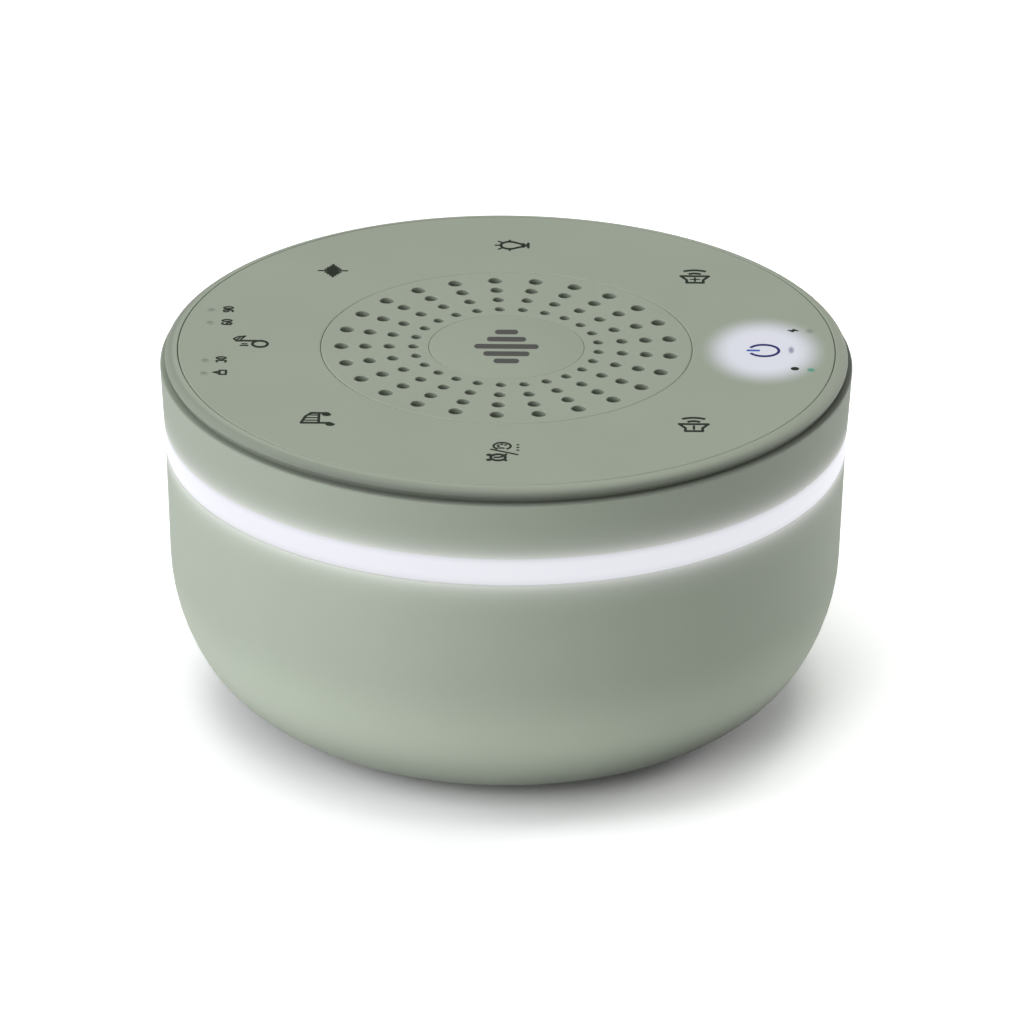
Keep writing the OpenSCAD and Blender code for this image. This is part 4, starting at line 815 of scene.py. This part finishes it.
def printed(name, x, y, *strokes, ink="print_ink"):
    """Lays strokes on the panel round a point, each a little higher than the last, so none share a plane."""
    layers = [bm for stroke in strokes for bm in stroke]
    for level, bm in enumerate(layers):
        bmesh.ops.translate(bm, vec=(0, 0, INK_STEP * level), verts=bm.verts)
        grown = bmesh.ops.extrude_face_region(bm, geom=bm.faces[:])["geom"]
        bottom = [v for v in grown if isinstance(v, bmesh.types.BMVert)]
        bmesh.ops.translate(bm, vec=(0, 0, -INK_DEEP), verts=bottom)
    whole = joined(*layers)
    bmesh.ops.scale(whole, vec=(MM, MM, MM), verts=whole.verts)
    laid = moved(whole, x, y, LEVEL + INK_PROUD, 90)
    return piece(name, moved(laid, turn=PRINT_TURN), "sage_panel", finish_name=ink)


# %% [markdown]
# ## Round the power key
# The open ring and its bar stand in the glow. Beside them a bolt marks the charging light and a dot marks the
# battery light.

# %% Power marks
printed("mark_power_ring", 44.98, -0.83, arc(0, 0.1, 2.45, 117, 423, 0.52, 1.07), ink="key_ink")
printed("mark_power_bar", 44.98, -0.83, bar(0, 1.0, 0, 2.9), ink="bar_ink")
printed("mark_bolt", 50.16, 7.85, shape((0.3, 0.97), (0.22, 0.3), (0.74, -0.1), (0.05, -0.97),
        (-0.3, -0.97), (-0.18, -0.4), (-0.74, 0.08), (0, 0.97)))
printed("mark_battery_dot", 50.11, -8.46, blob(0, 0, 0.74))

# %% [markdown]
# ## The timer figures
# A nought is a long ring; the other figures are rings and arcs on the same two centres, so that all are cut
# from one cloth, as a plain technical typeface is. A small padlock stands beside the fourth light.

# %% Timer marks
slim = {"width": THIN, "nib": FINE_NIB}
FIGURE_R, SECOND_FIGURE = 0.42, 0.67


def nought():
    """A tall ring in the second figure's place."""
    return arc(SECOND_FIGURE, 0, FIGURE_R, stretch=1.9, **slim)


printed("mark_90", -48.95, 15.03, arc(-0.64, 0.38, FIGURE_R, **slim),
        chain((-0.24, 0.38), (-0.26, -0.4), (-0.5, -0.8), (-0.95, -0.75), **slim), nought())
printed("mark_60", -49.04, 9.46, arc(-0.64, -0.38, FIGURE_R, **slim),
        chain((-1.04, -0.38), (-1.0, 0.4), (-0.78, 0.8), (-0.35, 0.75), **slim), nought())
printed("mark_30", -49.55, -6.56, arc(-0.72, 0.4, 0.4, -90, 160, **slim),
        arc(-0.72, -0.42, FIGURE_R, -160, 90, **slim), nought())
printed("mark_padlock", -49.55, -12.03,
        chain((-0.85, 0.1), (0.85, 0.1), (0.85, -1.0), (-0.85, -1.0), (-0.85, 0.1), **slim),
        chain((-0.5, 0.1), (0, 1.15), (0.5, 0.1), **slim))

# %% [markdown]
# ## The key symbols
# Louder and softer are one speaker symbol with a plus or a single bar inside. The others are a lamp, a level
# pattern, a single note, a pair of notes, and an alarm clock with a palette.

# %% Volume marks
def speaker_mark(name, x, y, *sign):
    """A speaker with two sound waves; the sign lies inside its box."""
    box = chain((-2.6, -1.5), (-1.4, -1.45), (0.3, -2.5), (0.3, 2.5), (-1.4, 1.45), (-2.6, 1.5), (-2.6, -1.5))
    waves = arc(-0.4, 0, 1.9, -35, 35, LINE) + arc(-1.2, 0, 4.1, -29, 29, LINE)
    printed(name, x, y, box, waves, *sign)


speaker_mark("mark_louder", 33.3, 31.0, bar(-1.8, 0, -0.5, 0, 0.4), bar(-1.15, -0.8, -1.15, 0.8, 0.28))
speaker_mark("mark_softer", 32.22, -32.3, bar(-1.8, 0, -0.5, 0, 0.4))

# %% Lamp and level
printed("mark_lamp", 0.42, 44.4, arc(0, 0, 1.6, -38, 218), chain((1.26, -0.98), (0.45, -2.3)),
        chain((-1.26, -0.98), (-0.45, -2.3)), bar(-0.45, -2.4, 0.45, -2.4, 0.75), bar(0, -2.4, 0, -3.2, 0.6),
        bar(-0.95, -3.3, 0.95, -3.3, 0.5), bar(0, 1.9, 0, 2.55, 0.35), bar(1.35, 1.5, 1.75, 2.0, 0.35),
        bar(-1.35, 1.5, -1.75, 2.0, 0.35), bar(1.75, 0, 2.1, 0), bar(-1.75, 0, -2.1, 0))
LEVEL_LENGTHS, LEVEL_PITCH = [5.5, 3.05, 2.25, 1.35, 0.55], 0.66
level_bars = []
for k in range(-4, 5):
    half = LEVEL_LENGTHS[abs(k)] / 2 - 0.2
    level_bars.append(bar(LEVEL_PITCH * k, -half, LEVEL_PITCH * k, half, 0.42 if k else 0.34))
printed("mark_level", -30.93, 32.4, *level_bars, shape((-1.9, 0), (0, -1.2), (1.9, 0), (0, 1.2)))

# %% Notes
printed("mark_note", -44.63, 1.0, arc(-0.8, -1.64, 1.32), bar(0.52, -1.64, 0.52, 2.5),
        chain((0.52, 2.5), (1.3, 3.0), (2.2, 2.3), (2.5, 1.0), (1.6, 1.5), (0.8, 1.8), width=0.36),
        bar(1.0, 2.4, 1.9, 1.9, 0.3), bar(-0.8, 0.65, -0.8, 1.5, 0.3), bar(-1.5, 0.5, -1.5, 1.75, 0.34))
printed("mark_two_notes", -32.23, -31.25, blob(1.95, -1.5, 0.68, 1.2), blob(-2.1, -2.2, 0.68, 1.2),
        bar(2.55, -1.7, 2.55, 1.2), bar(-1.5, -2.2, -1.5, 2.8),
        chain((-1.4, 2.8), (1.2, 2.1), (2.45, 1.2), width=0.5), bar(-1.5, -0.2, 2.55, -0.2, 0.5),
        bar(1.7, 0, 1.7, 1.6, 0.3), bar(0.6, 0, 0.6, 2.1, 0.3), bar(-0.45, 0, -0.45, 2.5, 0.3))

# %% Alarm clock and palette
clock = [arc(-2.28, 1.0, 1.25), blob(-1.3, 2.55, 0.5), blob(-3.3, 2.55, 0.5), bar(-1.4, -0.1, -1.1, -0.35),
         bar(-3.2, -0.1, -3.5, -0.35), chain((-2.28, 1.6), (-2.28, 1.0), (-2.0, 0.3), width=THIN)]
slash = bar(1.0, 2.2, -1.1, -2.3, 0.36)
palette = [arc(2.34, 0.33, 1.4, -150, 150, 0.4, 1.05), arc(1.1, 0.4, 0.45, -70, 70, 0.35)]
paints = [blob(2.34 + 0.7 * math.cos(a), 0.33 + 0.75 * math.sin(a), 0.3) for a in (-0.9, 0.1, 1.1, 2.1)]
dots = [blob(2.9 - 1.1 * k, -2.35, 0.28) for k in range(3)]
printed("mark_clock_palette", -0.23, -44.0, *clock, slash, *palette, *paints, *dots)

# %% Five bars on the middle disc
BADGE_HALVES, BADGE_PITCH, BADGE_LINE = (1.6, 3.4, 5.0, 2.8, 1.4), 3.1, 1.3
badge = []
for k, half in zip(range(-2, 3), BADGE_HALVES):
    badge.append(bar(BADGE_PITCH * k, -half, BADGE_PITCH * k, half, BADGE_LINE))
printed("mark_bars", 0, 0, *badge, ink="badge_ink")

# %% [markdown]
# ## Under the machine
# The base cover closes the bowl, and a rubber ring in its groove keeps the machine from sliding. The cover's
# four screw seats are cut with the same carving as the charging recess.

# %% Base cover and foot
def rod(x, y, radius, z_from, z_to):
    """A plain cylinder, for cutting a round seat."""
    bm = turned([(0, z_from), (radius, z_from), (radius, z_to), (0, z_to)], closed=False, steps=40)
    return moved(bm, x, y)


COVER_R, GROOVE_OUT_R, GROOVE_IN_R, Z_COVER_UNDER, Z_GROOVE = 32.87, 31.07, 25.87, 0.9, 1.6
cover_path = [(0, Z_COVER), (COVER_R, Z_COVER), (COVER_R, Z_COVER_UNDER), (GROOVE_OUT_R, Z_COVER_UNDER),
              (GROOVE_OUT_R, Z_GROOVE), (GROOVE_IN_R, Z_GROOVE), (GROOVE_IN_R, Z_COVER_UNDER),
              (0, Z_COVER_UNDER)]
cover_soft = [((COVER_R, Z_COVER_UNDER), 0.3), ((GROOVE_OUT_R, Z_COVER_UNDER), 0.15),
              ((GROOVE_IN_R, Z_COVER_UNDER), 0.15)]
cover = turned(cover_path, closed=False, soft=cover_soft, steps=RING_STEPS)
seats = [(x, y) for x in (-17.17, 17.17) for y in (-14.5, 14.5)]
head_holes = [rod(x, y, 2.6, 0.5, 2.0) for x, y in seats]
shank_holes = [rod(x, y, 1.5, 1.9, 3.5) for x, y in seats]
piece("bottom_cover", carved(cover, *head_holes, *shank_holes), "base_plastic", ["base_cover"])
FOOT_IN_R, FOOT_OUT_R = 25.97, 30.97
foot = turned([(FOOT_IN_R, 0), (FOOT_OUT_R, 0), (FOOT_OUT_R, Z_GROOVE), (FOOT_IN_R, Z_GROOVE)],
              soft=[((FOOT_IN_R, 0), 0.4), ((FOOT_OUT_R, 0), 0.4)], steps=RING_STEPS)
piece("rubber_foot", foot, "foot_rubber", ["foot_ring"])

# %% [markdown]
# ## The charging socket
# A drawn steel shell with an oval mouth, and the contact tongue inside it.

# %% Socket
shell = carved(oval(8.94, 3.26, 50.46, PORT_Y, PORT_Z), oval(8.34, 2.66, 51.16, 59, PORT_Z))
piece("socket_shell", shell, "plated_steel", ["charge_socket"])
tongue = bmesh.new()
bmesh.ops.create_cube(tongue, size=1, matrix=Matrix.Translation((0, 53.7 * MM, PORT_Z * MM))
                      @ Matrix.Diagonal((6.74 * MM, 5.1 * MM, 0.7 * MM, 1)))
piece("socket_tongue", tongue, "plated_steel", finish_name="black_plastic")

# %% [markdown]
# ## The moving speaker's soft rings
# The cone hangs between a rubber surround and a waved cloth spider. Both are fixed at their outer edge and
# ride the cone at their inner edge. A bend goes along one straight line, so each ring is made as narrow
# sectors, each with the line of its own radius. The narrower they are, the smoother the ring stays as the
# cone moves.

# %% Sectors of a soft ring
SECTORS, SPREAD = 24, 15


def soft_ring(name, outline, node, slot):
    """Narrow sectors of a ring, each on its own radius, in place of the node."""
    for k in range(SECTORS):
        sector = turned(outline, steps=4, sweep=SPREAD, start=k * SPREAD)
        made = piece(f"{name}_{k + 1}", sector, slot, [node], body=None)
        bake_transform(made)


# %% Surround: two flat edges with a half roll between them
ROLL_R, ROLL_OUTSIDE, ROLL_IN_R, ROLL_OUT_R, SKIN = 22.2, 1.9, 20.8, 23.6, 0.5
Z_EDGE, Z_EDGE_UNDER = 62.15, 61.65
tuck = math.degrees(math.asin(SKIN / ROLL_OUTSIDE))
spread = ROLL_OUTSIDE * math.cos(math.radians(tuck))
surround = [(19.3, Z_EDGE), (ROLL_IN_R, Z_EDGE), (ROLL_R, Z_EDGE, -180), (28, Z_EDGE), (28, Z_EDGE_UNDER),
            (ROLL_R + spread, Z_EDGE_UNDER), (ROLL_R, Z_EDGE, 180 - 2 * tuck), (19.3, Z_EDGE_UNDER)]
soft_ring("surround", surround, "cone_surround", "surround_rubber")

# %% Spider: a waved cloth between two flat edges
INNER, OUTER, FLAT, HALF_CLOTH, Z_SPIDER = 9.85, 17.35, 1.0, 0.15, 52.35
WAVES, HEIGHT, WAVE_STEPS = 3, 0.45, 36
wave_r = [INNER + FLAT + (OUTER - INNER - 2 * FLAT) * k / WAVE_STEPS for k in range(WAVE_STEPS + 1)]
wave_z = [Z_SPIDER + HEIGHT * math.sin(math.tau * WAVES * k / WAVE_STEPS) for k in range(WAVE_STEPS + 1)]
above, below = Z_SPIDER + HALF_CLOTH, Z_SPIDER - HALF_CLOTH
spider = [(INNER, above)] + [(r, z + HALF_CLOTH) for r, z in zip(wave_r, wave_z)]
spider += [(OUTER, above), (OUTER, below)]
spider += [(r, z - HALF_CLOTH) for r, z in zip(wave_r[::-1], wave_z[::-1])] + [(INNER, below)]
soft_ring("spider", spider, "speaker_spider", "spider_cloth")

# %% Sizes and finish
low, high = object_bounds()
print("dressed size", [round((b - a) / MM, 3) for a, b in zip(low, high)], "mm")
